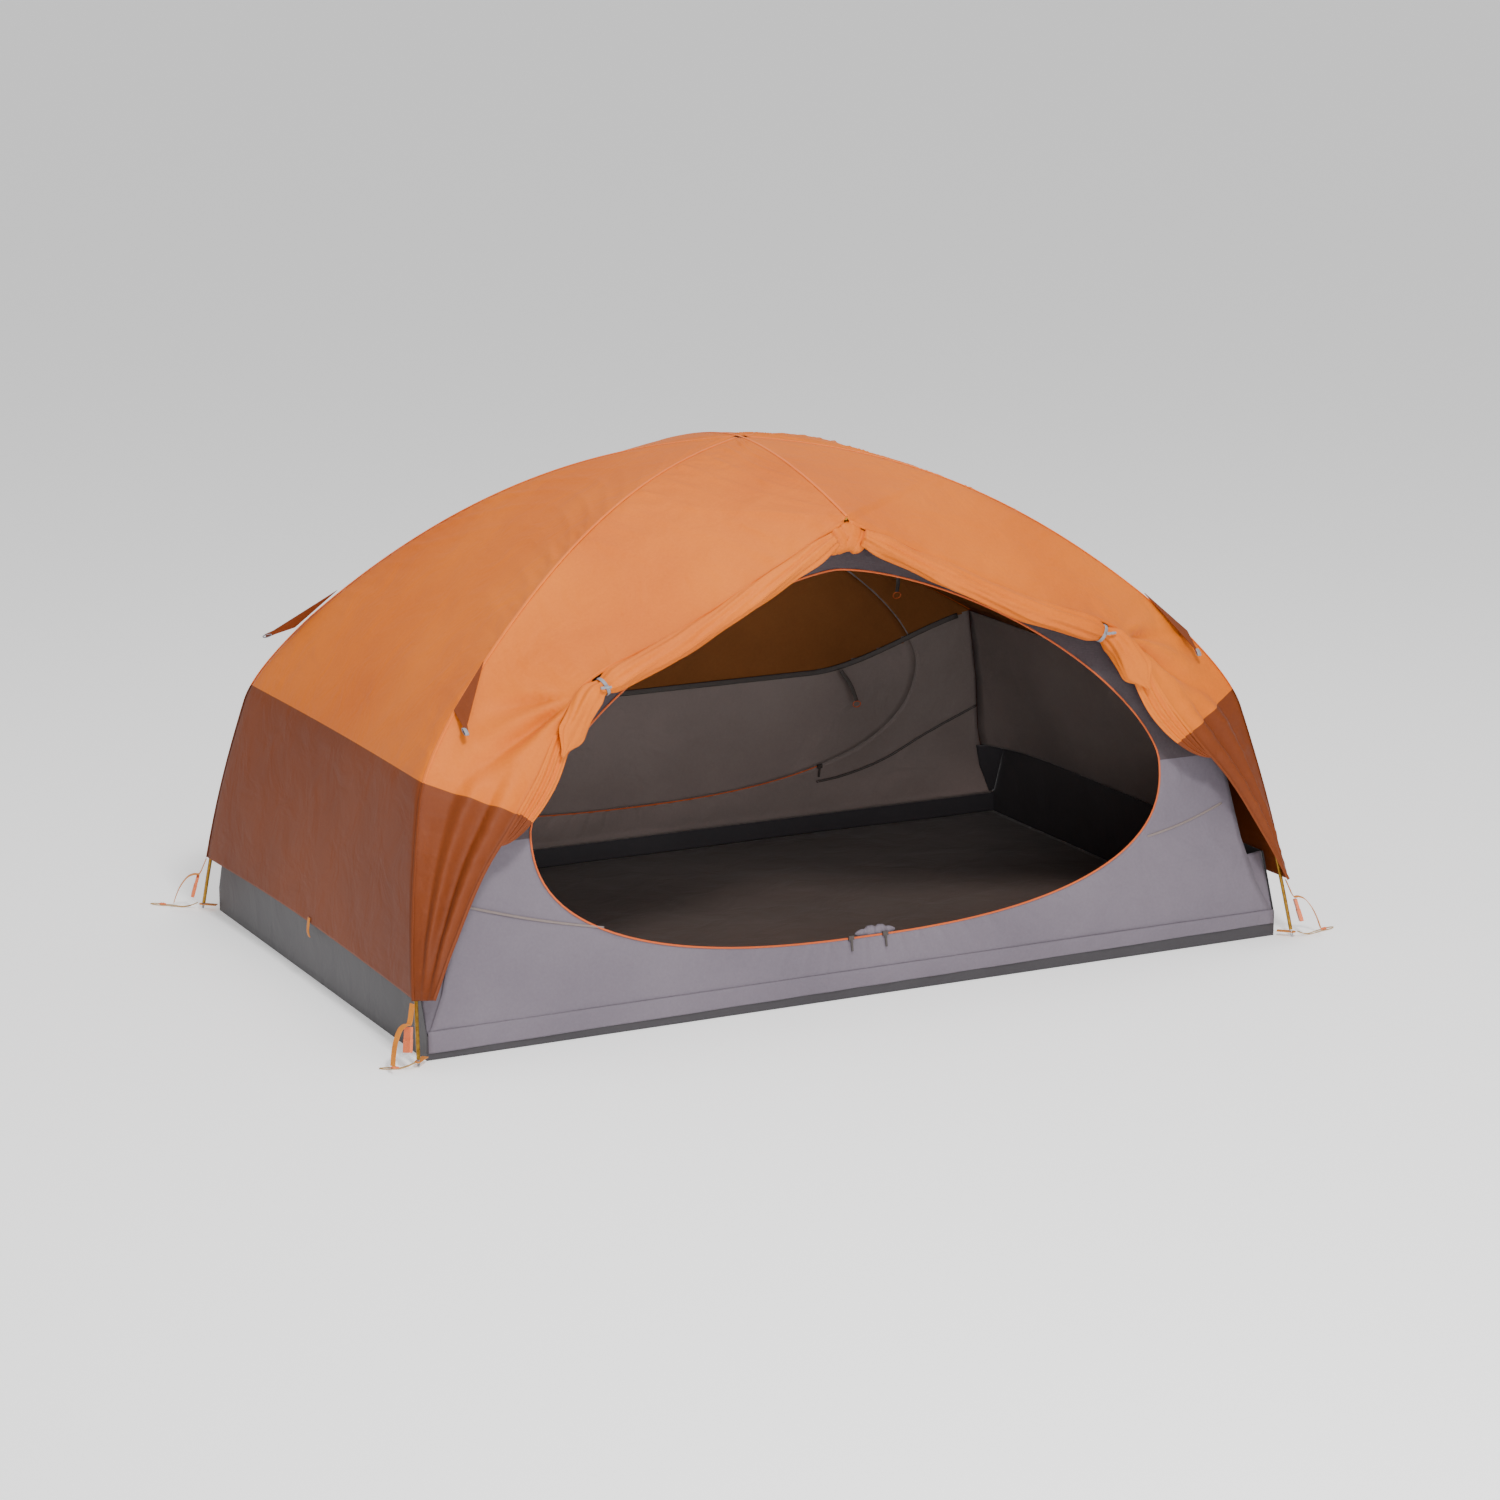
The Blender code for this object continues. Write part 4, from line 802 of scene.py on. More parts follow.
@dataclass
class DoorRolls:
    """The front door's two halves, rolled and tied, with the bunched cloth where they meet under the ridge's
    end.
    """

    finish: Finishes
    thin: float = 0.020
    thick: float = 0.027
    gap: float = 0.0035
    forward: float = 0.35
    first_s: float = 1.57
    last_s: float = 1.080
    tie_share: float = 0.707
    fullness: float = 1.22
    stations: int = 150
    around: int = 72

    def line(self, side: Side) -> tuple[Array, Array, Array]:
        """The roll's centreline, radius and tangent: below the door edge by its radius and a gap."""
        s = np.linspace(self.first_s, self.last_s, self.stations)
        share = np.linspace(0, 1, self.stations)
        radius = self.thin + (self.thick - self.thin) * np.minimum(1, share / self.tie_share)
        tangent = unit(LINES.door_edge(s + 0.01) - LINES.door_edge(s - 0.01))
        below = np.array([0.0, self.forward, -1.0])
        below = unit(below - tangent * dot(np.broadcast_to(below, tangent.shape), tangent))
        centre = LINES.door_edge(s) + below * (radius + self.gap)[:, None]
        flip = np.array([side.value, -1, 1])
        return centre * flip, radius, share

    def band(self, side: Side, centre: Array, radius: Array) -> None:
        """The grey tie round a roll where it is pinched: a flat band on a circle square to the roll."""
        at = int(self.tie_share * (self.stations - 1))
        tangent = unit(centre[at + 1] - centre[at - 1])
        first = unit(np.cross(tangent, np.array([0, 0, 1.0])))
        other = np.cross(tangent, first)
        turn = np.linspace(0, 2 * math.pi, 64)[:, None]
        spoke = first * np.cos(turn) + other * np.sin(turn)
        path = centre[at] + spoke * radius[at] * 0.80
        tie = sweep(f"roll_tie_{side.word}", path, spoke, ring(0.0045, 0.0010, 10, 3.0),
                    self.finish.trim, caps=False)
        weld(tie, 1e-4)
        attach(tie, TENT)
        LOG.info("roll tie %s", side.word)

    def gather(self) -> None:
        """The bunched cloth where the rolls meet under the ridge's end: a tube whose radius is fluted."""
        x = np.linspace(-0.050, 0.050, 140)
        s = LINES.ridge_s - 0.0 * x
        top = LINES.door_edge(s)
        drop = 0.036 + 0.010 * np.abs(x) / 0.062
        path = np.stack([x, -top[:, 1] + 0.004, top[:, 2] - drop - 0.35 * np.abs(x)], axis=-1)
        angle = np.linspace(0, 2 * math.pi, 48, endpoint=False)[None]
        flute = 0.90 + 0.16 * np.abs(np.sin(x[:, None] * 105 + 0.4))
        flute = flute + 0.03 * np.sin(x[:, None] * 300 + angle)
        end = np.sqrt(np.clip(1 - (np.abs(x) / 0.053) ** 4, 0.05, 1))[:, None]
        size = flute * end
        profile = np.stack([0.018 * size * np.cos(angle), 0.033 * size * np.sin(angle)], axis=-1)
        piece = sweep("door_gather", path, np.array([0, 0, 1.0]), profile, self.finish.fly)
        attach(piece, TENT)
        LOG.info("door gather")

    def build(self) -> None:
        """Makes each roll as a closed tube whose radius is folded.

        Radius is the base radius times 1 plus long twisting folds (sines of angle that turn along the
        roll), pinched by the toggle at its wide end and gathered at the ridge.
        """
        for side in Side:
            centre, radius, share = self.line(side)
            angle = np.linspace(0, 2 * math.pi, self.around, endpoint=False)[None]
            t = share[:, None]
            twist = angle + side.value * 2.6 * t
            folds = 0.10 * np.abs(np.sin(2.5 * twist + 1.1)) + 0.07 * np.sin(5 * twist + 6 * t + 0.7)
            folds += 0.05 * np.sin(9 * twist - 9 * t) + 0.03 * ripple(angle * 2, t * 20, 5, 5, 1.0, 3.0)
            pinch = 1 - 0.40 * np.exp(-((t - self.tie_share) / 0.028) ** 2) - 0.22 * np.exp(-(t / 0.05) ** 2)
            swell = 1 + 0.09 * np.sin(9 * t * math.pi) * (1 - t)
            size = radius[:, None] * np.clip(self.fullness * (0.86 + folds) * pinch * swell, 0.35, 1.45)
            spread = smoothstep(self.tie_share + 0.02, 1.0, t)
            flat, tall = 1 - 0.86 * spread, 1 + 0.30 * spread - 1.15 * smoothstep(0.90, 1.0, t)
            profile = np.stack([size * flat * np.cos(angle), size * tall * np.sin(angle)], axis=-1)
            roll = sweep(f"door_roll_cloth_{side.word}", centre, np.array([0, 0, 1.0]), profile,
                         self.finish.fly)
            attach(roll, TENT)
            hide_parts(f"door_roll_{side.word}")
            LOG.info("roll %s", roll.name)
            self.band(side, centre, radius)
        self.gather()


# ---------------------------------------------------------------- inner tent


@dataclass
class InnerTent:
    """Walls with their door ovals, mesh ceiling, tub floor and the dropped door."""

    finish: Finishes
    cloth: float = 0.0008
    door_half_width: float = 0.825
    door_centre: float = 0.460
    door_rise: float = 0.515
    door_drop: float = 0.320
    top_power: float = 1.5
    bottom_power: float = 2.5
    piping: float = 0.00238
    gear_loop_ends: tuple[tuple[tuple[float, float, float], tuple[float, float, float]], ...] = (
        ((0.575, 0.560, 0.471), (0.622, 0.560, 0.385)),
        ((0.690, 0.470, 0.745), (0.686, 0.462, 0.690)),
    )
    low_seam: tuple[tuple[float, float], ...] = (
        (0.556, 0.150), (0.614, 0.156), (0.754, 0.193), (0.87, 0.251), (1.024, 0.319),
    )

    def door_radius(self, angle: Array, shrink: float = 0.0) -> Array:
        """Superellipse radius of the door: flatter below its centre than above."""
        above = np.sin(angle) > 0
        rise = np.where(above, self.door_rise, self.door_drop)
        power = np.where(above, self.top_power, self.bottom_power)
        across = np.abs(np.cos(angle) / self.door_half_width) ** power
        return (across + np.abs(np.sin(angle) / rise) ** power) ** (-1 / power) - shrink

    def outline_radius(self, angle: Array) -> Array:
        """Distance from the door's centre to the wall's own outline, along each angle."""
        h = LINES.half_length
        share = np.linspace(1, 0, 40)
        right = [(h - 0.0035, 0.0530), (h - 0.045, 0.14), (h - 0.078, 0.25), (h - 0.104, 0.40)]
        right += [(LINES.eave_x * k, float(LINES.wall_top(np.array(k)))) for k in share]
        loop = np.array(right + [(-x, z) for x, z in right[::-1][1:]] + [right[0]])
        dense = np.concatenate([
            loop[:-1][:, None] + (loop[1:] - loop[:-1])[:, None] * np.linspace(0, 1, 60)[None, :, None]
        ]).reshape(-1, 2)
        around = np.arctan2(dense[:, 1] - self.door_centre, dense[:, 0]) % (2 * math.pi)
        reach = np.hypot(dense[:, 0], dense[:, 1] - self.door_centre)
        order = np.argsort(around)
        return np.interp(angle % (2 * math.pi), around[order], reach[order], period=2 * math.pi)

    def on_wall(self, x: Array, z: Array, side: int, out: Array) -> Array:
        """A place on the leaning front (-1) or back (1) wall, pushed outside by out."""
        tucked = 0.0035 * (1 - smoothstep(0.058, 0.072, z))
        y = side * (LINES.wall_y(z) + out - tucked)
        return np.stack([x, y, z], axis=-1)

    def seam_height(self, x: Array, side: int) -> Array:
        """Where solid cloth meets mesh: level on the front wall, rising to the right on the back one."""
        if side < 0:
            return 0.455 + 0.0 * x
        return 0.466 + 0.137 * smoothstep(0.50, 1.05, x) + 0.06 * smoothstep(-0.5, -1.0, x)

    def above(self, grid: Array, side: int) -> Array:
        """A mask of the faces that lie above the wall's seam."""
        middle = (grid[1:, 1:] + grid[:-1, :-1]) / 2
        return middle[..., 2] > self.seam_height(middle[..., 0], side)

    def tape(self, name: str, x: Array, z: Array, side: int, out: float, material: bpy.types.Material,
             width: float = 0.004) -> None:
        """A narrow sewn tape on a wall, along the given places."""
        path = self.on_wall(np.asarray(x, float), np.asarray(z, float), side, out + 0 * np.asarray(x))
        up = np.array([0, float(side) * np.sign(out), 0.2])
        piece = sweep(name, path, up, ring(width, 0.0009, 8, 2.4), material)
        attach(piece, TENT)
        LOG.info("tape %s", name)

    def skirt(self) -> None:
        """The front wall's cloth running down outside the tub: from its foot to a slanting lower edge."""
        x = np.linspace(-LINES.half_length + 0.004, LINES.half_length - 0.004, 160)
        t = (x + LINES.half_length) / (2 * LINES.half_length)
        v = np.linspace(0, 1, 14)[:, None]
        low = 0.016 + 0.016 * t
        z = low[None] + (0.066 - low[None]) * v
        out = 0.0016 + 0.0010 * (1 + np.sin(31 * x + 3 * np.sin(5 * x)))[None] * (1 - v)
        y = -(np.minimum(LINES.half_width, LINES.wall_y(z)) + out)
        grid = np.stack([np.broadcast_to(x[None], z.shape), y, z], axis=-1)
        made = grid_mesh("front_skirt", grid, [self.finish.wall], outward=np.array([0, 0, 0.3]))
        thicken(made, self.cloth)
        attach(made, TENT)
        declare_sheet(made, grid)

    def tuck(self) -> None:
        """The dropped door's cloth peeking over the sill: a small mound of upright folds."""
        x = np.linspace(-0.030, 0.075, 90)
        t = np.linspace(0, 1, 90)
        angle = np.linspace(0, 2 * math.pi, 40, endpoint=False)[None]
        arch = np.sin(math.pi * np.clip(t, 0.02, 0.98)) ** 0.6
        flute = 1 + 0.14 * np.sin(22 * t)[:, None] + 0.06 * np.sin(47 * t)[:, None]
        size = arch[:, None] * flute
        profile = np.stack([0.010 * size * np.cos(angle), 0.016 * size * np.sin(angle)], axis=-1)
        sill = 0.143 + 0 * x
        path = np.stack([x, -(LINES.wall_y(sill) - 0.012), sill], axis=-1)
        piece = sweep("sill_tuck", path, np.array([0, 0, 1.0]), profile, self.finish.wall)
        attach(piece, TENT)
        LOG.info("sill tuck")

    def gear_loops(self) -> None:
        """Small hanging loops inside: a flat strap and a ring, on the back wall and the ceiling."""
        for index, (top, low) in enumerate(self.gear_loop_ends):
            line = along(np.array([top, ((top[0] + low[0]) / 2 + 0.006, top[1], (top[2] + low[2]) / 2),
                                   low]), 30)
            strap = sweep(f"gear_strap_{index}", line, np.array([0, -1.0, 0]), ring(0.0055, 0.0008, 10, 3.0),
                          self.finish.dark)
            turn = np.linspace(0, 2 * math.pi, 48)
            centre = np.array(low) - np.array([0, 0, 0.008])
            path = centre + np.stack([0.011 * np.cos(turn), 0 * turn, 0.008 * np.sin(turn)], axis=-1)
            loop = sweep(f"gear_ring_{index}", path, np.array([0, -1.0, 0]), ring(0.0013, 0.0013, 8),
                         self.finish.piping, caps=False)
            weld(loop, 1e-4)
            for piece in (strap, loop):
                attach(piece, TENT)
            LOG.info("gear loop %d", index)

    def seams(self) -> None:
        """The walls' sewn seams: panel seams in front, the mesh seam and low seam behind."""
        x = np.linspace(-0.93, 0.93, 120)
        self.tape("back_mesh_seam", x, self.seam_height(x, 1), 1, -0.007, self.finish.dark, 0.007)
        for side, (x0, z0, x1, z1) in ((Side.LEFT, (-1.008, 0.329, -0.668, 0.240)),
                                       (Side.RIGHT, (0.992, 0.336, 0.775, 0.280))):
            t = np.linspace(0, 1, 30)
            bow = 0.006 * np.sin(math.pi * t)
            # The panel seam tapes take the inside grey, the wall grey painted lighter
            self.tape(f"front_panel_seam_{side.word}", x0 + (x1 - x0) * t, z0 + (z1 - z0) * t - bow, -1,
                      0.002, self.finish.inside_wall, 0.0028)
        low = along(np.array(self.low_seam), 60)
        self.tape("back_low_seam", low[:, 0], low[:, 1], 1, -0.006, self.finish.dark, 0.003)

    def gussets(self) -> None:
        """Cloth closing each corner between the tub's tapered end and the wall, dark only behind."""
        h, w = LINES.half_length, LINES.half_width
        z = np.linspace(0.060, 0.2012, 24)
        edge_x = np.interp(z, [0.0586, 0.14, 0.25], [h - 0.003, h - 0.045, h - 0.078])
        edge = np.stack([edge_x - 0.015, LINES.wall_y(z) - 0.0055, z], axis=-1)
        taper = np.stack([h - 0.0035 + 0 * z, w - 0.004 - 0.056 * (z - 0.058) / 0.142, z], axis=-1)
        v = np.linspace(0, 1, 10)[None, :, None]
        for corner, flip in CORNERS.items():
            grid = (edge[:, None] * (1 - v) + taper[:, None] * v) * np.array([*flip, 1])
            made = grid_mesh(f"corner_gusset_{corner}", grid,
                             [self.finish.wall if corner.startswith("front") else self.finish.tub],
                             outward=np.array([0, 0, 0.3]))
            thicken(made, self.cloth)
            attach(made, TENT)
            declare_sheet(made, grid)

    def wall(self, side: int, name: str, node: str) -> None:
        """The cloth between the door's oval and the wall's outline: a ring of rays from the centre."""
        angle = np.linspace(0, 2 * math.pi, 1081)[:-1]
        v = np.linspace(0, 1, 20)[:, None]
        inner, outer = self.door_radius(angle)[None], self.outline_radius(angle)[None]
        radius = inner + (outer - inner) * v
        x, z = radius * np.cos(angle), self.door_centre + radius * np.sin(angle)
        swell = 0.0030 * ripple(x, z, 40 + side, 6, 6.0, 18.0) * np.sin(math.pi * v)
        pull = 0.0022 * np.maximum(0, np.sin(angle * 46)) ** 2 * np.exp(-((radius - inner) / 0.05))
        grid = self.on_wall(x, z, side, swell + pull * smoothstep(0, 0.1, v))
        grid = np.concatenate([grid, grid[:, :1]], axis=1)
        # The back wall takes the inside grey and the brown mesh, both with painted light; the front wall
        # keeps the wall grey and the mesh's own grey
        finish = [self.finish.wall if side < 0 else self.finish.inside_wall,
                  self.finish.dark_mesh if side < 0 else self.finish.mesh]
        made = grid_mesh(name, grid, finish, outward=np.array([0, 0, 0.4]), second=self.above(grid, side))
        weld(made)
        thicken(made, self.cloth)
        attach(made, TENT)
        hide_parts(node)
        declare_sheet(made, grid, band=True)

    def door(self) -> None:
        """The closed back door: a disc of rays with soft folds."""
        angle = np.linspace(0, 2 * math.pi, 241)
        v = np.linspace(0.002, 1, 40)[:, None]
        radius = self.door_radius(angle, 0.002)[None] * v
        x, z = radius * np.cos(angle), self.door_centre + radius * np.sin(angle)
        out = 0.0035 * ripple(x, z, 77, 7, 5.0, 15.0) * np.sin(math.pi * v)
        grid = self.on_wall(x, z, 1, out)
        # The back door takes the inside grey, painted lighter, and the brown mesh with the fly's glow
        # painted in
        made = grid_mesh("back_door_cloth", grid, [self.finish.inside_wall, self.finish.mesh],
                         outward=np.array([0, 0, 0.4]), second=self.above(grid, 1))
        weld(made)
        thicken(made, self.cloth)
        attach(made, TENT)
        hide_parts("inner_back_door")
        declare_sheet(made, grid)

    def pipe(self, side: int, name: str, first: float, last: float, material: bpy.types.Material) -> None:
        """The piped zip along a door's oval, between two angles.

        Args:
            side: -1 for the front wall, 1 for the back.
            name: the piece's name.
            first: its first angle round the door's centre, in turns.
            last: its last angle.
            material: the finish.
        """
        whole = last - first > 0.999
        angle = 2 * math.pi * np.linspace(first, last, 260)
        radius = self.door_radius(angle) + 0.001
        path = self.on_wall(radius * np.cos(angle), self.door_centre + radius * np.sin(angle), side,
                            0.0012 + 0 * angle)
        piece = sweep(name, path, np.array([0, float(side), 0.2]), ring(self.piping, 0.0019, 8, 2.2),
                      material, caps=not whole)
        weld(piece)
        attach(piece, TENT)
        LOG.info("piping %s", name)

    def end_wall(self, side: Side) -> None:
        """A leaning end wall: a chord grid between its foot and its eave, with fold streaks."""
        x = side.value
        z = np.linspace(0.2009, LINES.eave_height - 0.004, 60)
        rise = (z - z[0]) / (z[-1] - z[0])
        low, high = LINES.half_width - 0.056 - 0.004, LINES.half_width - 0.136
        half = np.interp(rise, [0, 0.35, 0.75, 1.0], [low, low - 0.040, high - 0.012, high])
        across = LINES.half_length - 0.001 + (LINES.eave_x + 0.004 - LINES.half_length + 0.001) * rise
        v = np.linspace(-1, 1, 60)
        y = half[:, None] * v
        streak = 0.006 * np.sin(11 * (y + 0.5 * rise[:, None]) + 2 * rise[:, None])
        streak = streak * np.sin(math.pi * (v + 1) / 2)[None] * np.sin(math.pi * rise)[:, None]
        edge_x = np.interp(z, [0.14, 0.25, 0.40, 0.60],
                           [LINES.half_length - 0.045, LINES.half_length - 0.078,
                            LINES.half_length - 0.104, LINES.eave_x])
        edge_y = LINES.wall_y(z) - 0.004
        bend = np.abs(v)[None] ** 7
        run = across[:, None] - (across - edge_x)[:, None] * bend
        y = y + np.sign(v)[None] * (edge_y - half)[:, None] * bend
        grid = np.stack([x * (run - np.abs(streak)), y, np.broadcast_to(z[:, None], y.shape)], -1)
        # The end wall takes the inside grey, the wall grey painted lighter as painted light
        made = grid_mesh(f"end_wall_{side.word}", grid, [self.finish.inside_wall],
                         outward=np.array([0, 0, 0.3]))
        thicken(made, self.cloth)
        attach(made, TENT)
        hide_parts(f"inner_end_{side.word}")
        declare_sheet(made, grid)

    def ceiling_pole(self, t: Array) -> Array:
        """The ceiling's crease under a pole, from the eave at 0 to the apex at 1."""
        share = (1 - t)[..., None]
        flat = LINES.knee[:2] * (LINES.eave_x / LINES.knee[0]) * share
        peak = LINES.apex_height - 0.030
        rise = peak - (peak - LINES.eave_height) * share**LINES.arch_power
        return np.concatenate([flat, rise], axis=-1)

    def ceiling_side(self, t: Array) -> Array:
        """Along the top of a wall, then under the ridge pole to the apex."""
        knot = 0.60
        share = np.clip(1 - t / knot, 0, 1)
        z = LINES.wall_top(share) + 0.003
        low = np.stack([LINES.eave_x * share, LINES.wall_y(z), z], axis=-1)
        share = np.clip((1 - t) / (1 - knot), 0, 1)
        top, peak = LINES.wall_peak + 0.003, LINES.apex_height - 0.030
        high = np.stack([0 * share, LINES.wall_y(top) * share, peak - (peak - top) * share**1.7], axis=-1)
        return np.where((t <= knot)[..., None], low, high)

    def ceiling(self) -> None:
        """The mesh ceiling in six facets that share their creases."""
        t = np.linspace(0, 1, 61)
        v = np.linspace(0, 1, 22)[None, :, None]
        crease, edge = self.ceiling_pole(t), self.ceiling_side(t)
        whole, grids = [], []
        for side in Side:
            f, b = np.array([side.value, -1, 1]), np.array([side.value, 1, 1])
            for start, end in ((crease * f, crease * b), (edge * f, crease * f), (crease * b, edge * b)):
                grids.append(between(start[:, None], end[:, None], v, 0.020))
        for index, grid in enumerate(grids):
            name = "ceiling_mesh" if index == 0 else f"ceiling_part_{index}"
            # The ceiling takes the brown mesh, with the fly's glow painted in
            part = grid_mesh(name, grid, [self.finish.mesh], outward=np.array([0, 0, 0.3]))
            whole.append(part)
        made = join(whole)
        weld(made, 0.0002)
        thicken(made, self.cloth)
        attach(made, TENT)
        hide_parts("inner_ceiling")

    def tub(self) -> None:
        """The tub's own solid keeps its shape; a slack brown groundsheet lies in it."""
        dress("floor_tub", self.finish.tub)
        x = np.linspace(-LINES.half_length + 0.006, LINES.half_length - 0.006, 150)
        y = np.linspace(-LINES.half_width + 0.006, LINES.half_width - 0.006, 100)
        across, deep = np.meshgrid(x, y)
        height = 0.0046 + 0.0018 * ripple(across, deep, 91, 7, 4.0, 15.0)
        grid = np.stack([across, deep, np.maximum(height, 0.0031)], axis=-1)
        made = grid_mesh("ground_sheet", grid, [self.finish.floor], outward=np.array([0, 0, -1.0]))
        thicken(made, self.cloth)
        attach(made, TENT)
        declare_sheet(made, grid)

    def dropped_door(self) -> None:
        """The unzipped door, gathered behind the sill: a flattened tube with deep bunched folds."""
        t = np.linspace(0, 1, 150)
        x = 0.02 + (t - 0.5) * 1.04
        envelope = np.sqrt(np.clip(1 - (2 * t - 1) ** 2, 0, 1))
        angle = np.linspace(0, 2 * math.pi, 64, endpoint=False)[None]
        folds = 1 - 0.22 * np.abs(np.sin(3 * angle + 14 * t[:, None]))
        folds = folds - 0.10 * np.abs(np.sin(31 * t))[:, None]
        size = envelope[:, None] * np.clip(folds, 0.5, 1.0)
        profile = np.stack([0.054 * size * np.cos(angle), 0.0372 * size * np.sin(angle)], axis=-1)
        path = np.stack([x, np.full_like(x, -(LINES.half_width - 0.090)), np.full_like(x, 0.0398)], axis=-1)
        piece = sweep("dropped_door_cloth", path, np.array([0, 0, 1.0]), profile, self.finish.wall)
        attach(piece, TENT)
        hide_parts("dropped_door")
        LOG.info("dropped door")

    def build(self) -> None:
        """Makes every cloth of the inner tent."""
        self.tub()
        self.wall(-1, "front_wall_cloth", "inner_front_wall")
        self.wall(1, "back_wall_cloth", "inner_back_wall")
        self.door()
        self.pipe(-1, "front_door_piping", 0.0, 1.0, self.finish.piping)
        self.pipe(1, "back_door_piping", 0.52, 0.93, self.finish.piping)
        # The zip takes the inside grey, the wall grey painted lighter
        self.pipe(1, "back_door_zip", -0.07, 0.52, self.finish.inside_wall)
        self.tuck()
        self.gear_loops()
        self.seams()
        self.skirt()
        self.gussets()
        for side in Side:
            self.end_wall(side)
        self.ceiling()
        self.dropped_door()


def weld(piece: bpy.types.Object, distance: float = 1e-5) -> None:
    """Merges a mesh's doubled points."""
    shape = bmesh.new()
    shape.from_mesh(piece.data)
    bmesh.ops.remove_doubles(shape, verts=shape.verts, dist=distance)
    shape.to_mesh(piece.data)
    shape.free()


def join(parts: Sequence[bpy.types.Object]) -> bpy.types.Object:
    """One object from several, keeping the first one's name, UV map and finish."""
    shape = bmesh.new()
    for part in parts:
        shape.from_mesh(part.data)
    shape.to_mesh(parts[0].data)
    shape.free()
    for part in parts[1:]:
        bpy.data.objects.remove(part, do_unlink=True)
    return parts[0]


def dress(node: str, material: bpy.types.Material) -> None:
    """Gives a carried-over solid its finish."""
    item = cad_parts[node]
    if item.material_slots:
        for slot in item.material_slots:
            slot.material = material
    else:
        item.data.materials.append(material)


# ---------------------------------------------------------------- corners and cords


@dataclass
class Corners:
    """Webbing, buckles, straps, guy tabs, pole tips and stake loops at the four corners."""

    finish: Finishes
    cord_diameter: float = 0.0024
    tab_height: float = 0.0145
    tab_beyond: float = 0.012
    standoff: float = 0.0040

    LIE = {
        "front_left": ((-0.90, 0.44, 0.0), 0.080), "front_right": ((0.97, 0.24, 0.0), 0.130),
        "back_left": ((-0.72, 0.69, 0.0), 0.130), "back_right": ((0.90, 0.44, 0.0), 0.120),
    }

    def route(self, corner: str) -> Array:
        """The stake loop's line: down from the tab, out along the ground and back beside itself."""
        flip = np.array([*CORNERS[corner], 1])
        tip = LINES.pole(np.array(self.tab_height / LINES.knee_height)) * flip
        foot = np.array([LINES.half_length, LINES.half_width, 0.0]) * flip
        outward = unit(tip - np.array([foot[0], foot[1], tip[2]]))
        heading, reach = self.LIE[corner]
        heading = unit(np.array(heading))
        side = np.array([-heading[1], heading[0], 0.0])
        ground = self.cord_diameter / 2 + 0.0004
        gap = self.tab_beyond + self.standoff + self.cord_diameter / 2
        root = np.array([tip[0], tip[1], 0.0]) + outward * gap
        out = [(0.0, 0.0022, self.tab_height), (0.016, 0.0030, 0.0070), (0.034, 0.0035, ground),
               (reach * 0.62, 0.0050, ground), (reach - 0.010, 0.0048, ground)]
        back = [(a, -b, c) for a, b, c in reversed(out)]
        points = [root + heading * a + side * b + np.array([0, 0, c])
                  for a, b, c in out + [(reach, 0.0, ground)] + back]
        return along(np.array(points), min(76, int(2 * reach / (3 * self.cord_diameter)) + 2))

    def knot(self, corner: str, line: Array) -> bpy.types.Object:
        """The overhand knot on a stake loop: a lumpy bead wound by three crests round its middle."""
        middle = len(line) // 2
        a, b = line[middle - 5], line[middle + 5]
        ahead = unit(line[middle] - (a + b) / 2)
        centre = (a + b) / 2
        t = np.linspace(-1, 1, 30)
        path = centre + ahead * (0.010 * t)[:, None] + np.array([0, 0, 0.0020])
        angle = np.linspace(0, 2 * math.pi, 28, endpoint=False)[None]
        crests = 1 + 0.16 * np.sin(9 * t[:, None] + 2 * angle)
        radius = np.sqrt(np.clip(1 - t**2, 0.04, 1))[:, None] * crests
        profile = np.stack([0.0048 * radius * np.cos(angle), 0.0030 * radius * np.sin(angle)], axis=-1)
        piece = sweep(f"cord_knot_{corner}", path, np.array([0, 0, 1.0]), profile, self.finish.buckle)
        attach(piece, TENT)
        return piece

    def hem_tab(self, side: Side) -> None:
        """A golden webbing tab hanging from the middle of an end's hem: a folded flat strap."""
        s = np.array(LINES.hem_s)
        ends = [LINES.seam(s) * np.array([side.value, y, 1]) for y in (-1, 1)]
        top = between(ends[0], ends[1], 0.5, 0.035) + np.array([side.value * 0.002, 0, 0.012])
        drop = [(0.0, 0.0), (0.003, -0.018), (0.004, -0.034), (0.001, -0.046)]
        line = along(np.array([top + np.array([side.value * a, 0, b]) for a, b in drop]), 24)
        tab = sweep(f"hem_tab_{side.word}", line, np.array([float(side.value), 0, 0.1]),
                    ring(0.0075, 0.0010, 10, 3.2), self.finish.webbing)
        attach(tab, TENT)
        LOG.info("hem tab %s", side.word)

    def cord(self, corner: str) -> None:
        """One stake loop as a round curve."""
        line = self.route(corner)
        curve = bpy.data.curves.new(f"stake_loop_{corner}", "CURVE")
        curve.dimensions = "3D"
        curve.bevel_depth = self.cord_diameter / 2
        curve.bevel_resolution = 3
        curve.use_fill_caps = True
        spline = curve.splines.new("POLY")
        spline.points.add(len(line) - 1)
        spline.points.foreach_set("co", np.column_stack([line, np.ones(len(line))]).ravel())
        curve.materials.append(self.finish.cord)
        made = bpy.data.objects.new(f"stake_loop_{corner}", curve)
        bpy.context.scene.collection.objects.link(made)
        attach(made, TENT)
        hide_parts(f"stake_cord_{corner}")
        knot = self.knot(corner, line)

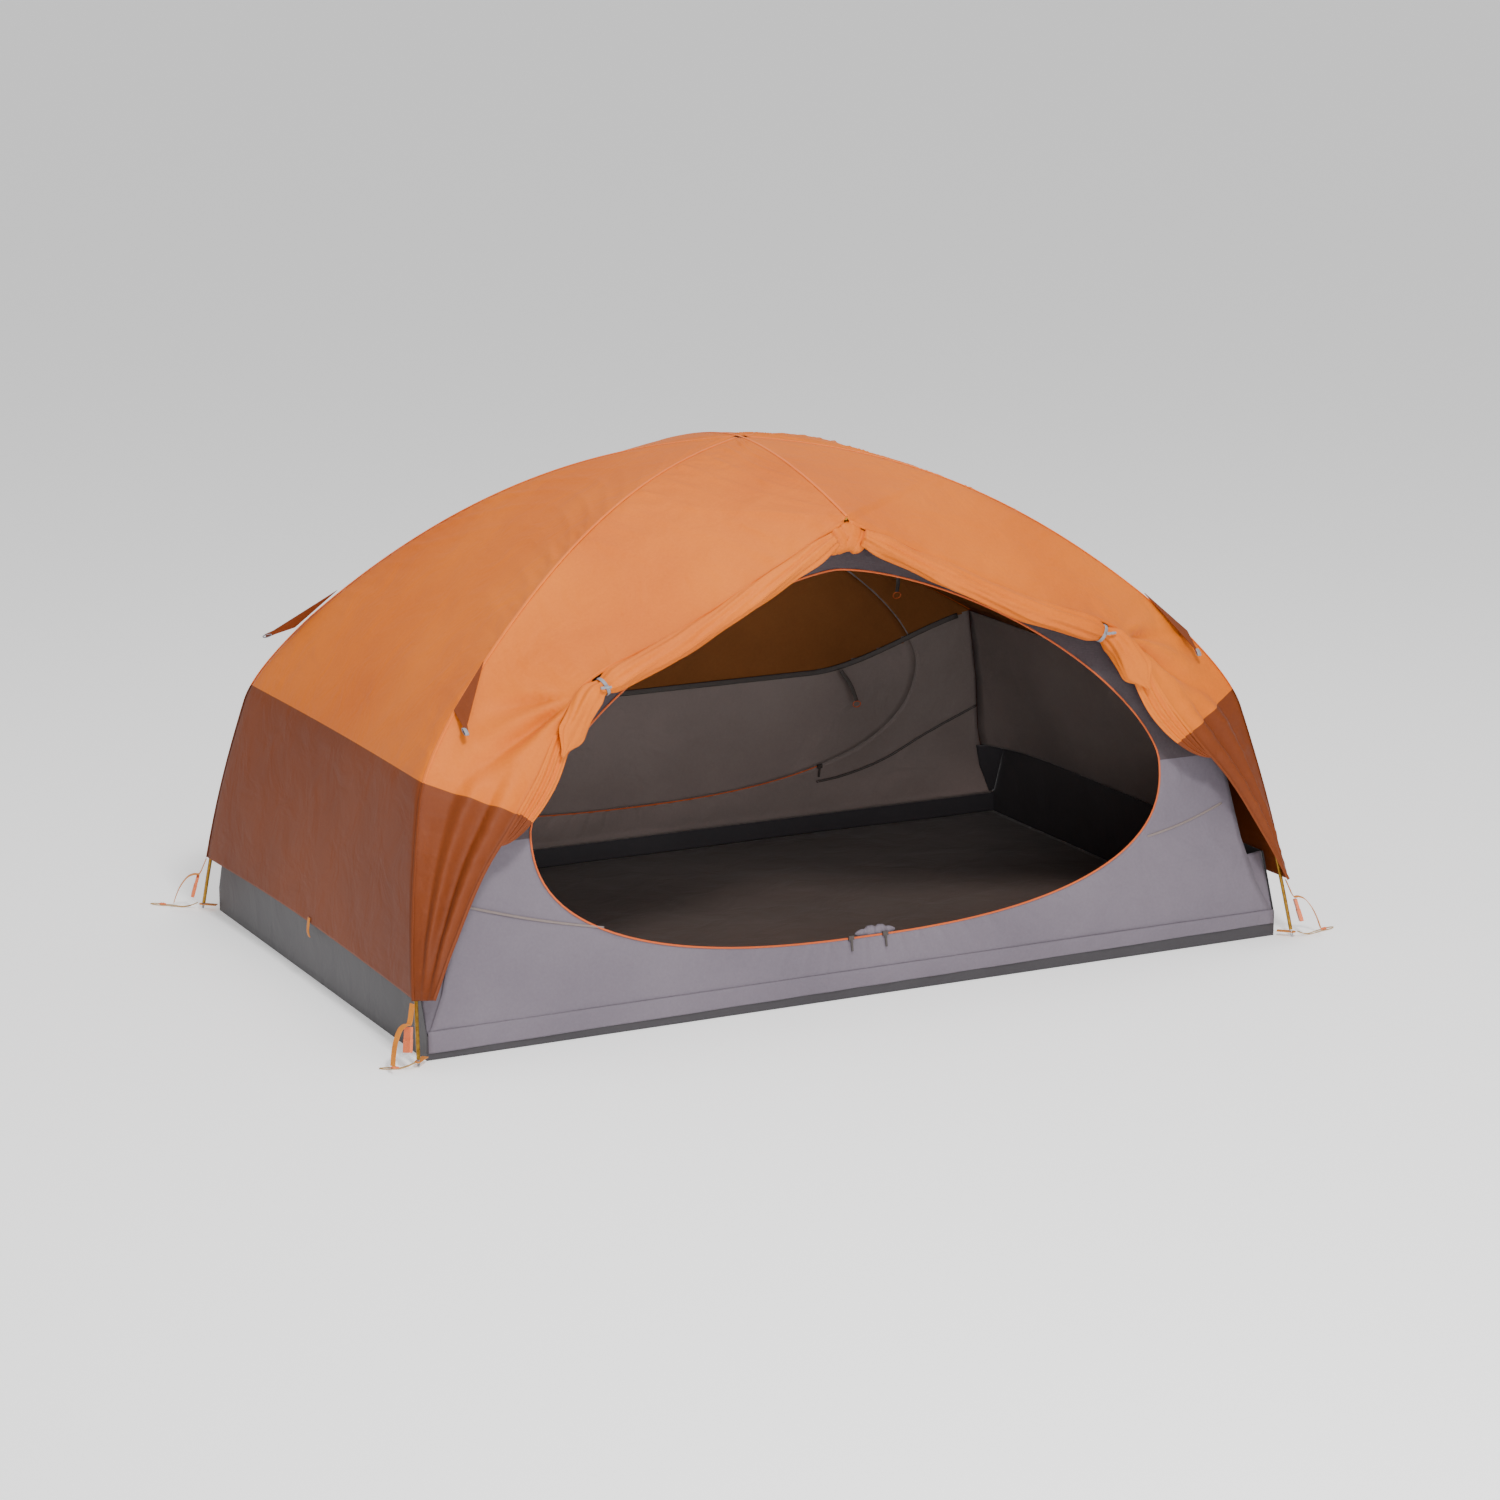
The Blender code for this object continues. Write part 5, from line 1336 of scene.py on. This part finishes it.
    def guy_loop(self, corner: str) -> None:
        """A grey webbing loop at a guy tab's tip: a flat band bent into a long ring."""
        lie = {"front_left": (0.005, -0.060, -0.040), "front_right": (-0.005, -0.060, -0.045),
               "back_left": (-0.070, 0.020, -0.018), "back_right": (0.070, 0.020, -0.018)}[corner]
        flip = np.array([*CORNERS[corner], 1])
        root = (LINES.pole(np.array(1.09)) + LINES.outward(np.array(1.09)) * 0.0165) * flip
        lie = np.array(lie)
        ahead = unit(lie)
        tip = root + lie
        t = np.linspace(0, 2 * math.pi, 60)
        out = unit(np.cross(ahead, np.array([0, 0, 1.0])))
        normal = unit(np.cross(ahead, out))
        path = tip + ahead * (0.011 * np.cos(t) - 0.004)[:, None] + normal * (0.0032 * np.sin(t))[:, None]
        band = sweep(f"guy_loop_{corner}", path, unit(path - tip), ring(0.0050, 0.0009, 10, 3.0),
                     self.finish.trim, caps=False)
        weld(band, 1e-4)
        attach(band, f"guy_tab_{corner}")
        LOG.info("guy loop %s", corner)

    def hardware(self) -> None:
        """Dresses the solids whose own shape is right."""
        for corner in CORNERS:
            dress(f"corner_tab_{corner}", self.finish.webbing)
            dress(f"fly_strap_{corner}", self.finish.webbing)
            dress(f"buckle_plug_{corner}", self.finish.buckle)
            dress(f"buckle_socket_{corner}", self.finish.buckle)
            dress(f"pole_tip_{corner}", self.finish.metal)
            dress(f"guy_tab_{corner}", self.finish.rust)
        for corner in CORNERS:
            self.guy_loop(corner)
        for side in Side:
            self.hem_tab(side)
        for side in Side:
            dress(f"roll_toggle_{side.word}", self.finish.trim)
            dress(f"front_slider_{side.word}", self.finish.dark)
        for node in ("back_slider", "vestibule_slider", "vestibule_zip"):
            dress(node, self.finish.dark)
        dress("crossing_clip", self.finish.trim)
        for node in ("pole_front_left_to_back_right", "pole_front_right_to_back_left", "ridge_pole"):
            dress(node, self.finish.pole)
        LOG.info("hardware dressed")


# ---------------------------------------------------------------- studio


@dataclass(frozen=True)
class Studio:
    """Pale floor, soft lights and the camera."""

    place: tuple[float, float, float] = (-4.300, -8.634, 2.7605)
    yaw: float = 26.61
    pitch: float = 13.53
    lens: float = 97.03
    surround: float = 0.58
    floor_size: float = 400.0
    floor_grey: float = 0.93
    floor_glow: float = 0.34
    lights: tuple[tuple[str, tuple[float, float, float], float, float], ...] = (
        ("key", (-1.0, -4.2, 5.4), 0.9, 330.0),
        ("doorway", (-1.6, -6.0, 1.3), 2.2, 150.0),
        ("top", (0.5, 0.5, 6.0), 3.0, 130.0),
    )

    def camera(self) -> None:
        """Looks along (sin yaw cos pitch, cos yaw cos pitch, -sin pitch)."""
        data = bpy.data.cameras.new("camera")
        data.lens = self.lens
        data.sensor_width = 36.0
        made = bpy.data.objects.new("camera", data)
        made.location = self.place
        yaw, pitch = math.radians(self.yaw), math.radians(self.pitch)
        ahead = Vector((math.sin(yaw) * math.cos(pitch), math.cos(yaw) * math.cos(pitch), -math.sin(pitch)))
        made.rotation_euler = ahead.to_track_quat("-Z", "Y").to_euler()
        bpy.context.scene.collection.objects.link(made)
        bpy.context.scene.camera = made

    def light(self, name: str, place: Sequence[float], size: float, power: float) -> None:
        """A square area light aimed at the tent's middle."""
        data = bpy.data.lights.new(name, "AREA")
        data.size = size
        data.energy = power
        made = bpy.data.objects.new(name, data)
        made.location = place
        aim = Vector((0, 0, 0.5)) - Vector(place)
        made.rotation_euler = aim.to_track_quat("-Z", "Y").to_euler()
        bpy.context.scene.collection.objects.link(made)

    def build(self) -> None:
        """Makes the floor, the lights, the world and the camera."""
        self.camera()
        world = bpy.data.worlds.new("studio")
        world.use_nodes = True
        world.node_tree.nodes["Background"].inputs[0].default_value = (1.0, 1.0, 1.0, 1.0)
        world.node_tree.nodes["Background"].inputs[1].default_value = self.surround
        bpy.context.scene.world = world
        bpy.ops.mesh.primitive_plane_add(size=self.floor_size, location=(0, 0, -0.0005))
        floor = bpy.context.object
        floor.name = "studio_floor"
        paint = bpy.data.materials.new("studio_floor")
        paint.use_nodes = True
        shader = paint.node_tree.nodes["Principled BSDF"]
        shader.inputs["Base Color"].default_value = (*[self.floor_grey] * 3, 1.0)
        shader.inputs["Roughness"].default_value = 0.9
        floor.data.materials.append(paint)
        shader.inputs["Emission Color"].default_value = (1.0, 1.0, 1.0, 1.0)
        shader.inputs["Emission Strength"].default_value = self.floor_glow
        for name, place, size, power in self.lights:
            self.light(name, place, size, power)


def main() -> None:
    """Builds the studio, the cords, then each sub-assembly."""
    logging.basicConfig(level=logging.INFO, format="%(name)s %(message)s")
    finish = Finishes()
    Studio().build()
    corners = Corners(finish)
    for corner in CORNERS:
        corners.cord(corner)
    Fly(finish).build()
    DoorRolls(finish).build()
    InnerTent(finish).build()
    corners.hardware()


if __name__ == "__main__":
    main()
